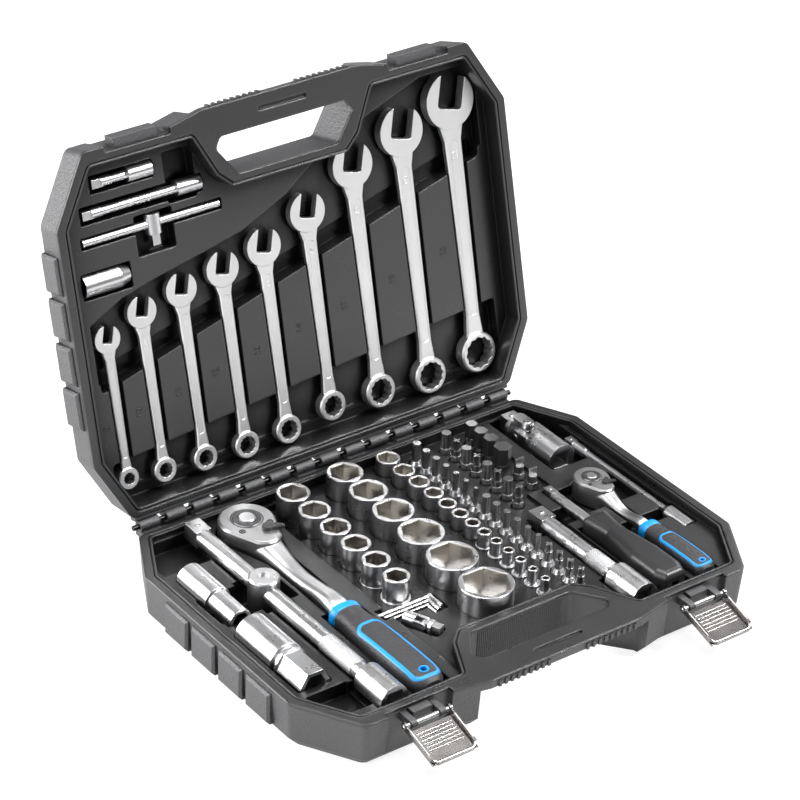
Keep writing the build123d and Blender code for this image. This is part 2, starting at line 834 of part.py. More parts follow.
def lid_wells():
    wells = []
    for size, x, jaw_y, ring_y in wrenches:
        floor = wrench_depth + shank_thick(size) / 2 + seat_gap
        wells.append((offset(wrench_shank(size, x, jaw_y, ring_y), wrench_play), deck_lid, floor))
    left, right = trough_left, trough_right
    bay = flat([(left, ring_bay - left * ring_bay_slope), (right, ring_bay - right * ring_bay_slope),
                (right, back_face), (left, back_face)], 3.0)
    low, high = finger_trough
    trough = flat([(left, low - left * finger_slope), (right, low - right * finger_slope),
                   (right, high - right * finger_slope), (left, high - left * finger_slope)], 3.0)
    wells += [(bay, deck_lid, ring_floor), (trough, deck_lid, finger_floor), (head_bay(), deck_lid, head_floor)]
    return wells + lid_bar_wells()


def head_bay():
    # The upper edge passes just above the jaws, the lower edge runs along the finger trough
    middle = (finger_trough[0] + finger_trough[1]) / 2
    edge = []
    for size, x, jaw_y, ring_y in reversed(wrenches):
        room = jaw_radius(size) + jaw_play
        edge.append((x - room, jaw_y - room))
    right = wrenches[0][1] + room
    edge.append((right, edge[-1][1]))
    low = [(x, middle - x * finger_slope) for x in (right, edge[0][0])]
    return flat(edge + low, 2.0)


def lid_bar_wells():
    floor = lid_bar_depth + lid_bar_end + seat_gap
    wells = [(oblong(*bar_finger, 2.0), deck_lid, ring_floor)]
    half = lid_bar_end + 0.8
    for x0, x1, y in (lid_bar_short, lid_bar_long):
        wells.append((oblong(x0 - 2, x1 + 1.5, y - half, y + half, 1.5), deck_lid, floor))
    x0, x1, y = tee_bar
    tee_well = oblong(x0 - 1.5, x1 + 1.5, y - tee_radius - 1.3, y + tee_radius + 1.3, 1.5)
    wells.append((tee_well, deck_lid, lid_bar_depth + tee_radius + seat_gap))
    roam = 6 + slider_travel + 1
    wells.append((oblong(slider_x - roam, slider_x + roam, y - 9, y + 21, 1.5), deck_lid, lid_bar_depth + 6.6))
    x0, x1, y = lid_spark
    half = lid_spark_radius + 1
    wells.append((oblong(x0 - 1.5, x1 + 1.5, y - half, y + half, 1.5), deck_lid,
                  lid_spark_depth + lid_spark_radius + seat_gap))
    return wells


def lid_tray():
    body = tray(lid_level, lid_height, [(opening(), rim_plate, deck_lid)], lid_wells())
    rail = block(-ring_rail_half, ring_rail_half, ring_rail[0], ring_rail[1],
                 lid_level(ring_rail_depth), lid_level(ring_floor + 0.5))
    return opened(body + rail)


def pins():
    made = [round_x(-hinge_half, hinge_half, hinge_y, hinge_z, hinge_pin_radius)]
    half = latch_pin_length / 2
    for side in (-1, 1):
        x = side * latch_x
        made.append(round_x(x - half, x + half, latch_y, latch_z, latch_pin_radius))
    return bundle(made)


def latch(side):
    x = side * latch_x
    half = latch_width / 2
    near = latch_y - 4.4
    tip = latch_y - latch_reach
    top = latch_z - 1.4
    plate = block(x - half, x + half, tip, near, top - latch_sheet, top)
    pieces = []
    for edge in (-1, 1):
        x0 = x + edge * half
        x1 = x + edge * (half - latch_sheet)
        pieces.append(block(x0, x1, tip + 3, latch_y, top - latch_sheet, top + latch_flange))
        pieces.append(round_x(x0, x1, latch_y, latch_z, 3.1))
    pieces.append(block(x - half + 4, x + half - 4, tip - 0.8, tip + 0.6, top - latch_sheet, top + 1.6))
    for index in range(latch_ribs):
        y = near - 4.0 - index * latch_rib_pitch
        pieces.append(round_x(x - half + 4.5, x + half - 4.5, y, top - 0.1, 0.75))
    made = plate.fuse(*pieces) - round_x(x - 30, x + 30, latch_y, latch_z, latch_pin_radius + running)
    return made.rotate(Axis((0, latch_y, latch_z), (1, 0, 0)), latch_slope)


# Sockets and bits, standing up
def standing_socket(size, wide, height, top, x, y, foot, drive, hexagon_share):
    z1 = rim_z + top
    z0 = z1 - height
    recess = z1 - height * hexagon_share
    body = post(x, y, z0, z1, wide / 2)
    if foot > wide:
        body += post(x, y, z0, z0 + height * 0.52, foot / 2)
    rings = body.edges().filter_by(GeomType.CIRCLE).group_by(Axis.Z)
    body = chamfer(rings[0] + rings[-1], 0.5)
    body -= slab(hexagon(x, y, size + 0.2), recess, z1 + 1)
    half = drive / 2
    return body - block(x - half, x + half, y - half, y + half, z0 - 1, recess + 1)


def half_sockets():
    made = {}
    for (size, wide, height), (x, y, foot) in half_spots():
        name = "socket_%02d" % size
        made[name] = standing_socket(size, wide, height, half_top, x, y, foot, half_drive, half_hexagon)
    return made


def quarter_sockets():
    made = []
    for (size, wide), (x, y, foot) in quarter_spots():
        made.append(standing_socket(size, wide, quarter_height, quarter_top, x, y, foot, quarter_drive,
                                    quarter_hexagon))
    return bundle(made)


def cross_tip(x, y, z0, z1, reach):
    fin = block(x - reach, x + reach, y - 0.7, y + 0.7, z0, z1)
    return fin + block(x - 0.7, x + 0.7, y - reach, y + reach, z0, z1)


def bit_sockets():
    made = []
    z1 = rim_z + bit_top
    z0 = z1 - bit_socket_length
    shoulder = z0 + bit_socket_body
    wide = bit_socket_diameter / 2
    hole = quarter_drive / 2
    for index in range(bit_socket_count):
        x = bit_socket_x
        y = bit_socket_y - index * bit_socket_pitch
        body = post(x, y, z0, shoulder, wide)
        body += Pos(x, y, shoulder + 1.5) * Cone(wide, 3.6, 3.0)
        if index < 7:
            body += slab(hexagon(x, y, 6.0 - index * 0.5, 30), shoulder, z1)
        elif index < 13:
            flats = 5.4 - (index - 7) * 0.4
            body += slab(hexagon(x, y, flats, 0) + hexagon(x, y, flats, 30), shoulder, z1)
        else:
            body += post(x, y, shoulder, z1 - 7, 3.0)
            body += cross_tip(x, y, z1 - 7.5, z1 - 1, 2.6)
        made.append(body - block(x - hole, x + hole, y - hole, y + hole, z0 - 1, z0 + 8))
    return bundle(made)


def loose_bits():
    made = []
    z1 = rim_z + bit_top
    z0 = z1 - bit_length
    places = bit_places()
    for index in range(bit_row_count):
        x, y = places[index]
        body = slab(hexagon(x, y, bit_shank), z0, z1 - 13)
        if index % 2:
            body += post(x, y, z1 - 13, z1 - 8, 3.4) + cross_tip(x, y, z1 - 8.5, z1, 3.1)
        else:
            body += slab(hexagon(x, y, 6.6, 0) + hexagon(x, y, 6.6, 30), z1 - 13, z1)
        made.append(body)
    for (x, y), (along, flats) in zip(places[bit_row_count:], large_bits):
        body = slab(hexagon(x, y, bit_shank), z0, z1 - 12)
        if flats > 0:
            body += slab(hexagon(x, y, flats, 30), z1 - 14, z1)
        else:
            body += post(x, y, z1 - 12, z1 - 6, 3.6)
            body += block(x - 4.0, x + 4.0, y - 0.8, y + 0.8, z1 - 6.5, z1)
        made.append(body)
    return bundle(made)


# Ratchets, lying with the drive square down
def ratchet_neck(x, head_y, radius, z0, z1, neck, grip_start, axis_z):
    share = radius / big_head_radius
    root = head_y - 2.4 * radius
    waist = (root + grip_start) / 2
    low = axis_z - 0.88 * neck
    high = axis_z + 0.88 * neck
    return loft([
        rounded_at(x, head_y - 0.9 * radius, z0 + 2.0 * share, z1 - 2.0 * share, 0.66 * radius),
        rounded_at(x, head_y - 1.6 * radius, z0 + 4.5 * share, z1 - 3.0 * share, 0.50 * radius),
        rounded_at(x, root, low, high, 1.05 * neck),
        rounded_at(x, waist, low + 0.08 * neck, high - 0.08 * neck, 0.94 * neck),
        rounded_at(x, grip_start, low, high, 1.12 * neck),
    ])


def ratchet(x, head_y, radius, top, thick, neck, grip_start, grip_end, grip_half, grip_thick, grip_depth,
            drive, tail):
    z1 = rim_z + top
    z0 = z1 - thick
    share = radius / big_head_radius
    axis_z = rim_z - grip_depth
    bore = head_bore * radius
    made = {}
    rounds = disc(x, head_y, radius).edges() + disc(x, head_y - 1.05 * radius, 0.6 * radius).edges()
    head = slab(make_hull(rounds), z0, z1)
    head = chamfer(head.edges().filter_by(Plane.XY), 1.6 * share)
    tang = slab(oblong(x - neck * 0.6, x + neck * 0.6, grip_start + 2, grip_end + 16),
                axis_z - neck * 0.5, axis_z + neck * 0.5)
    body = head + ratchet_neck(x, head_y, radius, z0, z1, neck, grip_start, axis_z) + tang
    body -= post(x, head_y, z0 - 1, z1 + 1, bore + 0.08)
    lever_y = head_y - 0.86 * radius
    lever_x = x + 0.28 * radius
    body -= post(lever_x, lever_y, z1 - 6 * share, z1 + 1, 2.6 * share + 0.08)
    made["body"] = body
    drum = post(x, head_y, z0 + 0.2, z1 + 0.6 * share, bore)
    drum += post(x, head_y, z0 - 2.0 * share, z0 + 0.2, bore * 0.92)
    half = drive / 2 - 0.05
    drum += block(x - half, x + half, head_y - half, head_y + half, z0 - 2.0 * share - tail, z0)
    made["drive"] = drum - post(x, head_y, z1 - 8 * share, z1 + 2, 0.30 * radius + 0.05)
    button = post(x, head_y, z1 - 4.5 * share, z1 + 1.8 * share, 0.30 * radius)
    made["button"] = chamfer(button.edges().group_by(Axis.Z)[-1], 0.6 * share)
    made["lever"] = ratchet_lever(lever_x, lever_y, z1, share)
    made.update(ratchet_grip(x, neck, grip_start, grip_end, grip_half, grip_thick, axis_z))
    return made


def ratchet_lever(x, y, z1, share):
    low = z1 + 0.35
    high = z1 + 2.4 * share
    lever = post(x, y, z1 - 5.5 * share, z1 + 0.4, 2.6 * share)
    lever += slab(disc(x, y, 4.0 * share), low, high)
    arm = flat([(x - 3.2 * share, y - 2.4 * share), (x + 10 * share, y - 7.5 * share),
                (x + 11 * share, y - 4.2 * share), (x + 3.2 * share, y + 2.4 * share)])
    return lever + slab(arm, low, high)


def ratchet_grip(x, neck, start, end, half, thick, axis_z):
    low = axis_z - thick / 2
    high = axis_z + thick / 2
    waist = half * 0.80
    length = start - end
    seam = start - 7.0
    side = [(x - half * 0.86, start - 6), (x - waist, start - length * 0.22), (x - half, start - length * 0.55),
            (x - half, end + length * 0.12), (x - half * 0.72, end)]
    mirrored = [(2 * x - px, py) for px, py in reversed(side)]
    grip = slab(flat(side + mirrored, half * 0.18), low, high)
    grip = fillet(grip.edges().filter_by(Plane.XY), thick * 0.22)
    collar = slab(oblong(x - half * 0.86, x + half * 0.86, start, seam, half * 0.2), low + 1.2, high - 1.2)
    collar = fillet(collar.edges().filter_by(Plane.XY), thick * 0.14)
    track_outer = oblong(x - half * 0.62, x + half * 0.62, start - length * 0.30, end + 3.0, half * 0.4)
    track_inner = oblong(x - half * 0.36, x + half * 0.36, start - length * 0.30 - 4.0, end + 8.0, half * 0.3)
    band = slab(track_outer - track_inner, high - 1.2, high)
    eye = post(x, end + length * 0.10, low - 1, high + 1, half * 0.2)
    core = slab(oblong(x - neck * 0.6, x + neck * 0.6, start + 2, end + 16),
                axis_z - neck * 0.5, axis_z + neck * 0.5)
    grip -= slab(oblong(x - half * 1.2, x + half * 1.2, start + 1, seam), low - 1, high + 1)
    return {"grip": grip - band - core - eye, "inlay": bundle([collar - core, band - eye])}


# Bars, joints and other long tools
def drive_bar(x, back, front, depth, radius, end_radius, end_length, square, square_length):
    z = rim_z - depth
    shoulder = front + end_length
    bar = round_y(x, back - square_length, shoulder, z, radius)
    bar += cone_y(x, shoulder + 5, shoulder - 0.1, z, radius, end_radius)
    bar += round_y(x, shoulder, front, z, end_radius)
    half = square / 2 - 0.05
    bar += block(x - half, x + half, back - square_length - 1, back, z - half, z + half)
    hole = square / 2 + 0.15
    return bar - block(x - hole, x + hole, front - 1, front + square_length + 2, z - hole, z + hole)


def knurl(x, back, front, depth, radius):
    return round_y(x, back, front, rim_z - depth, radius)


def long_bar():
    bar = drive_bar(long_bar_x, long_bar_back, long_bar_front, long_bar_depth, bar_radius, bar_end_radius,
                    bar_end_length, half_drive, bar_square_length)
    high = long_bar_front + long_knurl[0]
    low = long_bar_front + long_knurl[1]
    return bar + knurl(long_bar_x, high, low, long_bar_depth, bar_radius + bar_knurl)


def short_bar():
    bar = drive_bar(short_bar_x, short_bar_back, short_bar_front, short_bar_depth, bar_radius, bar_end_radius,
                    bar_end_length, half_drive, bar_square_length)
    high = short_bar_front + short_knurl[0]
    low = short_bar_front + short_knurl[1]
    return bar + knurl(short_bar_x, high, low, short_bar_depth, bar_radius + bar_knurl)


def three_way_adapter():
    z1 = rim_z + adapter_top
    z0 = z1 - adapter_height
    body = chamfer(post(long_bar_x, adapter_y, z0, z1, adapter_radius).edges().filter_by(GeomType.CIRCLE), 1.2)
    hole = round_y(long_bar_x, adapter_y - 20, adapter_y + 20, rim_z - long_bar_depth, bar_radius + 0.35)
    half = half_drive / 2
    square = block(long_bar_x - half, long_bar_x + half, adapter_y - half, adapter_y + half, z0 - 1, z0 + 9)
    detent = post(long_bar_x, adapter_y, z1 - 2.0, z1 + 1, 4.2)
    return body - hole - square - detent


def spark_socket(x, y0, y1, radius, depth, six_sided):
    z = rim_z - depth
    length = y0 - y1
    step = y0 - length * 0.56
    body = round_y(x, y0, step, z, radius)
    if six_sided:
        body += round_y(x, step + 0.1, step - 3.0, z, radius * 0.84)
        body += round_y(x, step - 2.9, step - 6.0, z, radius * 0.96)
        body = chamfer(body.edges().filter_by(GeomType.CIRCLE), 0.5)
        body += prism_y(x, step - 5.9, y1, z, radius * 1.62)
    else:
        body += round_y(x, step, y1, z, radius * 0.84)
        body = chamfer(body.edges().filter_by(GeomType.CIRCLE), 0.6)
    half = half_drive / 2
    body -= prism_y(x, y1 - 1, y1 + length * 0.5, z, radius * 1.2)
    return body - block(x - half, x + half, y0 - length * 0.3, y0 + 1, z - half, z + half)


def spark_sockets():
    made = [spark_socket(spark_x, spark_small_y[0], spark_small_y[1], spark_small_radius, spark_depth, False),
            spark_socket(spark_x, spark_large_y[0], spark_large_y[1], spark_large_radius, spark_depth, True)]
    return bundle(made)


def joint_parts():
    x, z, y = joint_x, rim_z - joint_depth, joint_middle
    cheek = joint_cross
    made = {}
    body = round_y(x, joint_front, y - 18, z, joint_radius)
    body += cone_y(x, y - 18.1, y - 12, z, joint_radius, joint_radius * 0.9)
    ears = block(x - cheek - 1.4, x - joint_fork_gap - 0.3, y - 13, y, z - 6.5, z + 6.5)
    ears += block(x + joint_fork_gap + 0.3, x + cheek + 1.4, y - 13, y, z - 6.5, z + 6.5)
    ears += round_x(x - cheek - 1.4, x - joint_fork_gap - 0.3, y, z, 6.5)
    ears += round_x(x + joint_fork_gap + 0.3, x + cheek + 1.4, y, z, 6.5)
    body += ears
    body -= round_x(x - 20, x + 20, y, z, joint_pin_radius + running)
    hole = half_drive / 2 + 0.15
    made["socket"] = body - block(x - hole, x + hole, joint_front - 1, joint_front + 17, z - hole, z + hole)
    inside = joint_fork_gap
    cross = block(x - inside, x + inside, y - 4.9, y + 4.9, z - inside, z + inside)
    cross += round_x(x - cheek - 1.2, x + cheek + 1.2, y, z, joint_pin_radius)
    made["cross"] = cross + post(x, y, z - cheek - 1.2, z + cheek + 1.2, joint_pin_radius)
    fork = block(x - 5.0, x + 5.0, y, y + 11, z - cheek - 1.4, z - joint_fork_gap - 0.3)
    fork += block(x - 5.0, x + 5.0, y, y + 11, z + joint_fork_gap + 0.3, z + cheek + 1.4)
    fork += post(x, y, z - cheek - 1.4, z - joint_fork_gap - 0.3, 5.0)
    fork += post(x, y, z + joint_fork_gap + 0.3, z + cheek + 1.4, 5.0)
    fork += round_y(x, y + 9.5, y + 13.5, z, cheek + 1.4)
    fork -= post(x, y, z - 20, z + 20, joint_pin_radius + running)
    half = half_drive / 2 - 0.05
    made["drive"] = fork + block(x - half, x + half, y + 13, joint_back, z - half, z + half)
    return made


def small_joint():
    z = rim_z - small_joint_depth
    length = small_joint_length
    pivot = -length * 0.52
    hub = Pos(small_joint_a[0], small_joint_a[1], 0) * Rot(0, 0, small_joint_turn)
    socket_end = round_y(0, 0, pivot + 6.0, z, 5.4) - block(-3.3, 3.3, -8, 1, z - 3.3, z + 3.3)
    for edge in (-1, 1):
        ear = block(edge * 2.6, edge * 4.8, pivot, pivot + 7.0, z - 3.2, z + 3.2)
        socket_end += ear + round_x(edge * 2.6, edge * 4.8, pivot, z, 3.2)
    socket_end += round_x(-4.0, 4.0, pivot, z, 1.3)
    tongue = block(-2.2, 2.2, pivot - 6.0, pivot, z - 2.6, z + 2.6) + round_x(-2.2, 2.2, pivot, z, 2.6)
    tongue += round_y(0, pivot - 5.0, -length * 0.78, z, 5.2)
    tongue += block(-3.1, 3.1, -length * 0.77, -length, z - 3.1, z + 3.1)
    tongue -= round_x(-4, 4, pivot, z, 1.3 + running)
    return {"socket": hub * socket_end, "drive": hub * tongue}


def slim_bar():
    bar = drive_bar(slim_x, slim_back, slim_front, slim_depth, slim_radius, slim_end_radius, slim_end_length,
                    quarter_drive, 8.0)
    return bar + round_y(slim_x, slim_back - 8.5, slim_back - 22, rim_z - slim_depth, slim_collar)


def spinner_shank():
    z = rim_z - spinner_depth
    rod = round_y(spinner_x, spinner_tip - 9, spinner_grip_back - 40, z, spinner_shank_radius)
    half = quarter_drive / 2 - 0.05
    return rod + block(spinner_x - half, spinner_x + half, spinner_tip - 10, spinner_tip, z - half, z + half)


def spinner_grip():
    x, z = spinner_x, rim_z - spinner_depth
    length = spinner_grip_back - spinner_grip_front
    start, end, half = spinner_grip_back, spinner_grip_front, spinner_half
    side = [(x - half * 0.86, start), (x - half * 0.62, start - length * 0.26),
            (x - half, start - length * 0.62), (x - half, end + 10), (x - half * 0.7, end)]
    mirrored = [(2 * x - px, py) for px, py in reversed(side)]
    grip = slab(flat(side + mirrored, 2.0), z - half, z + half * 0.9)
    grip = fillet(grip.edges().filter_by(Plane.XY), half * 0.45)
    socket_hole = block(x - 3.3, x + 3.3, end - 1, end + 10, z - 3.3, z + 3.3)
    return grip - round_y(x, start + 1, start - 40, z, spinner_shank_radius) - socket_hole


def hexagon_keys():
    made = []
    for index, flats in enumerate(key_sizes):
        z = rim_z - key_depth - 2.2 + flats / 2
        y = key_y - index * key_pitch
        start = key_x[0] + index * 3.0
        elbow = key_x[1] - index * key_pitch
        reach = key_short - index * 2.0
        section = RegularPolygon(flats / sqrt(3), 6)
        long_arm = extrude(Pos(start, y, z) * Rot(0, 90, 0) * section, amount=elbow - start)
        short_arm = extrude(Pos(elbow, y + flats / 2, z) * Rot(90, 0, 0) * section, amount=reach)
        corner = post(elbow, y, z - flats / 2, z + flats / 2, flats * 0.52)
        made.append(long_arm + short_arm + corner)
    return bundle(made)


# Tools in the lid, made with the lid shut and then swung open with it
def wrench_shank(size, x, jaw_y, ring_y):
    half = shank_half(size)
    radius = jaw_radius(size)
    ring = ring_radius(size)
    side = [(x - half * 1.75, jaw_y + radius * 0.55), (x - half * 1.08, jaw_y + radius * 1.45),
            (x - half * 0.88, ring_y - ring * 1.9), (x - half * 1.15, ring_y - ring * 0.7)]
    mirrored = [(2 * x - px, py) for px, py in reversed(side)]
    return flat(side + mirrored, half * 0.5)


def wrench_panel(size, x, jaw_y, ring_y):
    half = shank_half(size) * 0.55
    low = jaw_y + jaw_radius(size) * 1.45
    high = ring_y - ring_radius(size) * 1.9
    return oblong(x - half, x + half, low, high, half * 0.9)


def wrench(size, x, jaw_y, ring_y):
    z = lid_level(wrench_depth)
    radius = jaw_radius(size)
    half = shank_thick(size) / 2
    gap = Pos(x, jaw_y) * Rot(0, 0, 15) * oblong(-size / 2, size / 2, -radius * 1.6, radius * 0.30, size * 0.16)
    head = slab(disc(x, jaw_y, radius) - gap, z - jaw_thick(size) / 2, z + jaw_thick(size) / 2)
    shank = slab(wrench_shank(size, x, jaw_y, ring_y), z - half, z + half)
    shank = chamfer(shank.edges().filter_by(Plane.XY), half * 0.4)
    for level in (z - half, z + half):
        shank -= slab(wrench_panel(size, x, jaw_y, ring_y), level - panel_depth, level + panel_depth)
    points = hexagon(x, ring_y, size + 0.2, 0) + hexagon(x, ring_y, size + 0.2, 30)
    ring = slab(disc(x, ring_y, ring_radius(size)), z - ring_thick(size) / 2, z + ring_thick(size) / 2)
    ring = chamfer(ring.edges().filter_by(GeomType.CIRCLE), ring_thick(size) * 0.12)
    return opened(head + shank + ring - slab(points, z - size, z + size))


def drive_bar_x(x0, x1, y, depth):
    z = lid_level(depth)
    bar = round_x(x0 + 8, x1 - 16, y, z, lid_bar_radius)
    bar += round_x(x1 - 20, x1, y, z, lid_bar_end)
    bar += round_x(x0 + 7.5, x0 + 16, y, z, lid_bar_radius + 0.6)
    half = quarter_drive / 2 - 0.05
    bar += block(x0, x0 + 9, y - half, y + half, z - half, z + half)
    hole = quarter_drive / 2 + 0.1
    return bar - block(x1 - 9, x1 + 1, y - hole, y + hole, z - hole, z + hole)


def lid_bars():
    made = [drive_bar_x(*lid_bar_short, lid_bar_depth), drive_bar_x(*lid_bar_long, lid_bar_depth)]
    return opened(bundle(made))


def tee_handle():
    x0, x1, y = tee_bar
    z = lid_level(lid_bar_depth)
    bar = round_x(x0, x1, y, z, tee_radius)
    return opened(chamfer(bar.edges().filter_by(GeomType.CIRCLE), 0.6))


def tee_slider():
    y = tee_bar[2]
    z = lid_level(lid_bar_depth)
    hub = round_y(slider_x, y - 7.5, y + 7.5, z, 6.0)
    half = quarter_drive / 2 - 0.05
    hub += block(slider_x - half, slider_x + half, y + 7, y + 16, z - half, z + half)
    return opened(hub - round_x(slider_x - 10, slider_x + 10, y, z, tee_radius + running))


def lid_spark_socket():
    x0, x1, y = lid_spark
    z = lid_level(lid_spark_depth)
    body = round_x(x0, x1 - 8, y, z, lid_spark_radius)
    body += Pos(x1 - 4, y, z) * Rot(0, 90, 0) * Cone(lid_spark_radius, lid_spark_radius * 0.72, 8.0)
    hexa = extrude(Pos(x0 - 1, y, z) * Rot(0, 90, 0) * RegularPolygon(lid_spark_radius * 0.82, 6), amount=24)
    half = quarter_drive / 2
    return opened(body - hexa - block(x1 - 12, x1 + 1, y - half, y + half, z - half, z + half))


def all_parts():
    made = {"base_shell": base_shell(), "base_tray": base_tray(),
            "lid_shell": lid_shell(), "lid_tray": lid_tray(),
            "hinge_and_latch_pins": pins(), "latch_left": latch(-1), "latch_right": latch(1)}
    big = ratchet(big_ratchet_x, big_head_y, big_head_radius, big_head_top, big_head_thick, big_neck_half,
                  big_grip_start, big_grip_end, big_grip_half, big_grip_thick, big_grip_depth,
                  half_drive, big_drive_length)
    small = ratchet(small_ratchet_x, small_head_y, small_head_radius, small_head_top, small_head_thick,
                    small_neck_half, small_grip_start, small_grip_end, small_grip_half, small_grip_thick,
                    small_grip_depth, quarter_drive, small_drive_length)
    for name, piece in big.items():
        made["ratchet_large_" + name] = piece
    for name, piece in small.items():
        made["ratchet_small_" + name] = piece
    made.update(half_sockets())
    made["quarter_sockets"] = quarter_sockets()
    made["bit_sockets"] = bit_sockets()
    made["loose_bits"] = loose_bits()
    for size, x, jaw_y, ring_y in wrenches:
        made["wrench_%02d" % size] = wrench(size, x, jaw_y, ring_y)
    made["extension_long"] = long_bar()
    made["extension_short"] = short_bar()
    made["three_way_adapter"] = three_way_adapter()
    made["spark_plug_sockets"] = spark_sockets()
    for name, piece in joint_parts().items():
        made["universal_joint_" + name] = piece
    for name, piece in small_joint().items():
        made["small_joint_" + name] = piece
    made["slim_extension"] = slim_bar()
    made["spinner_shank"] = spinner_shank()
    made["spinner_grip"] = spinner_grip()
    made["hexagon_keys"] = hexagon_keys()
    made["lid_extensions"] = lid_bars()
    made["tee_bar"] = tee_handle()
    made["tee_slider"] = tee_slider()
    made["lid_spark_socket"] = lid_spark_socket()
    return made


os.makedirs("parts", exist_ok=True)
for node, shape in all_parts().items():
    export_step(shape, "parts/" + node + ".step")
    print(node, len(shape.solids()), round(shape.volume / 1000, 2), "cm3")
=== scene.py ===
# %% [markdown]
# # A socket wrench set in its open case
# The solids of the case and of every tool come packed from the CAD model, already in metres and in
# place. This lesson dresses them: it sets the camera and the light, mixes a finish for each material,
# and adds the small things that a CAD model leaves out, such as screws, linings, balls and numbers.

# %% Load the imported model
import json
from collections import namedtuple
from math import copysign, cos, pi, radians, sin
import bmesh
import bpy
from mathutils import Matrix, Vector


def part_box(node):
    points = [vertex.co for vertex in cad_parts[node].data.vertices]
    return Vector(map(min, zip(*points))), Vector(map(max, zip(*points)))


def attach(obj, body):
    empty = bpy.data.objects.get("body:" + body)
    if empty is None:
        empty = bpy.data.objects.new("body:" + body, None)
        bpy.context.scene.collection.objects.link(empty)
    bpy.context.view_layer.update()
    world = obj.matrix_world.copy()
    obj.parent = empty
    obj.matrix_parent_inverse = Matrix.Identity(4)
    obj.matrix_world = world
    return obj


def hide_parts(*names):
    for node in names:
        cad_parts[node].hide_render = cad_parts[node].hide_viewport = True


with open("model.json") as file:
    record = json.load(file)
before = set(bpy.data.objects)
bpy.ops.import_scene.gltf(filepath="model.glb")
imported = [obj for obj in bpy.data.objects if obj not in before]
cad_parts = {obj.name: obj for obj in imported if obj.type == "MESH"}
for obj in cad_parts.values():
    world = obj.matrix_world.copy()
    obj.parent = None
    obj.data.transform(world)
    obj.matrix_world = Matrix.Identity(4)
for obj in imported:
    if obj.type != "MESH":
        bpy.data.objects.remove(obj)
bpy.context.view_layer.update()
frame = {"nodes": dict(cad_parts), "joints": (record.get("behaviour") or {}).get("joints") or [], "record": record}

nodes = frame["nodes"]

# %% [markdown]
# ## Camera
# The photograph was taken from the left of the handle with a long lens, about 2.2 m away. The place,
# the target and the small roll were fitted to the straight edges of the case, so they are written here
# as plain numbers. A matrix is safer than a tracking constraint, because it also carries the roll.

# %% Aim the camera
CAMERA_AT = Vector((-1.2005, -1.5053, 1.3464))
LOOK_AT = Vector((-0.04496, 0.0, 0.18171))
ROLL = radians(2.25)
FOCAL_PIXELS = 3255.5
PHOTO_PIXELS = 800
SENSOR_WIDTH = 36.0
FARTHEST = 50.0
UP = Vector((0.0, 0.0, 1.0))


def in_scene(name, data):
    """A new object around mesh, camera or light data, linked to the scene."""
    made = bpy.data.objects.new(name, data)
    bpy.context.scene.collection.objects.link(made)
    return made


def aim_camera():
    forward = (LOOK_AT - CAMERA_AT).normalized()
    right = forward.cross(UP).normalized()
    up = right.cross(forward)
    right, up = cos(ROLL) * right + sin(ROLL) * up, cos(ROLL) * up - sin(ROLL) * right
    data = bpy.data.cameras.new("camera")
    data.sensor_width = SENSOR_WIDTH
    data.lens = FOCAL_PIXELS / PHOTO_PIXELS * SENSOR_WIDTH
    data.clip_end = FARTHEST
    camera = in_scene("camera", data)
    turn = Matrix((right, up, -forward)).transposed().to_4x4()
    camera.matrix_world = Matrix.Translation(CAMERA_AT) @ turn
    bpy.context.scene.camera = camera
    return camera


print("lens", round(aim_camera().data.lens, 1), "mm")

# %% [markdown]
# ## Shader arithmetic
# A pattern is easier to read as a sum than as a web of boxes. `Value` wraps one output socket and answers
# to the usual operators, and `Finish` owns a material and makes every other node with one method.

# %% Value and Finish
MIX_FROM, MIX_TO, MIX_COLOUR = 6, 7, 2
NOISE_ROUGHNESS = 0.55
PAINTED_OCCLUSION_SAMPLES = 6
ROLLED_EDGE_SAMPLES = 4


class Value:
    """One shader output that can be added, multiplied and compared."""

    def __init__(self, finish, socket):
        self.finish, self.socket = finish, socket

    def math(self, operation, first, second):
        return self.finish.node("ShaderNodeMath", {"operation": operation}, {0: first, 1: second})

    def __add__(self, other):
        return self.math("ADD", self, other)

    def __sub__(self, other):
        return self.math("SUBTRACT", self, other)

    def __rsub__(self, other):
        return self.math("SUBTRACT", other, self)

    def __mul__(self, other):
        return self.math("MULTIPLY", self, other)

    def __lt__(self, other):
        return self.math("LESS_THAN", self, other)

    __radd__, __rmul__ = __add__, __mul__

    def squeezed(self):
        """The value kept between 0 and 1."""
        return self.finish.node("ShaderNodeClamp", {}, {"Value": self})


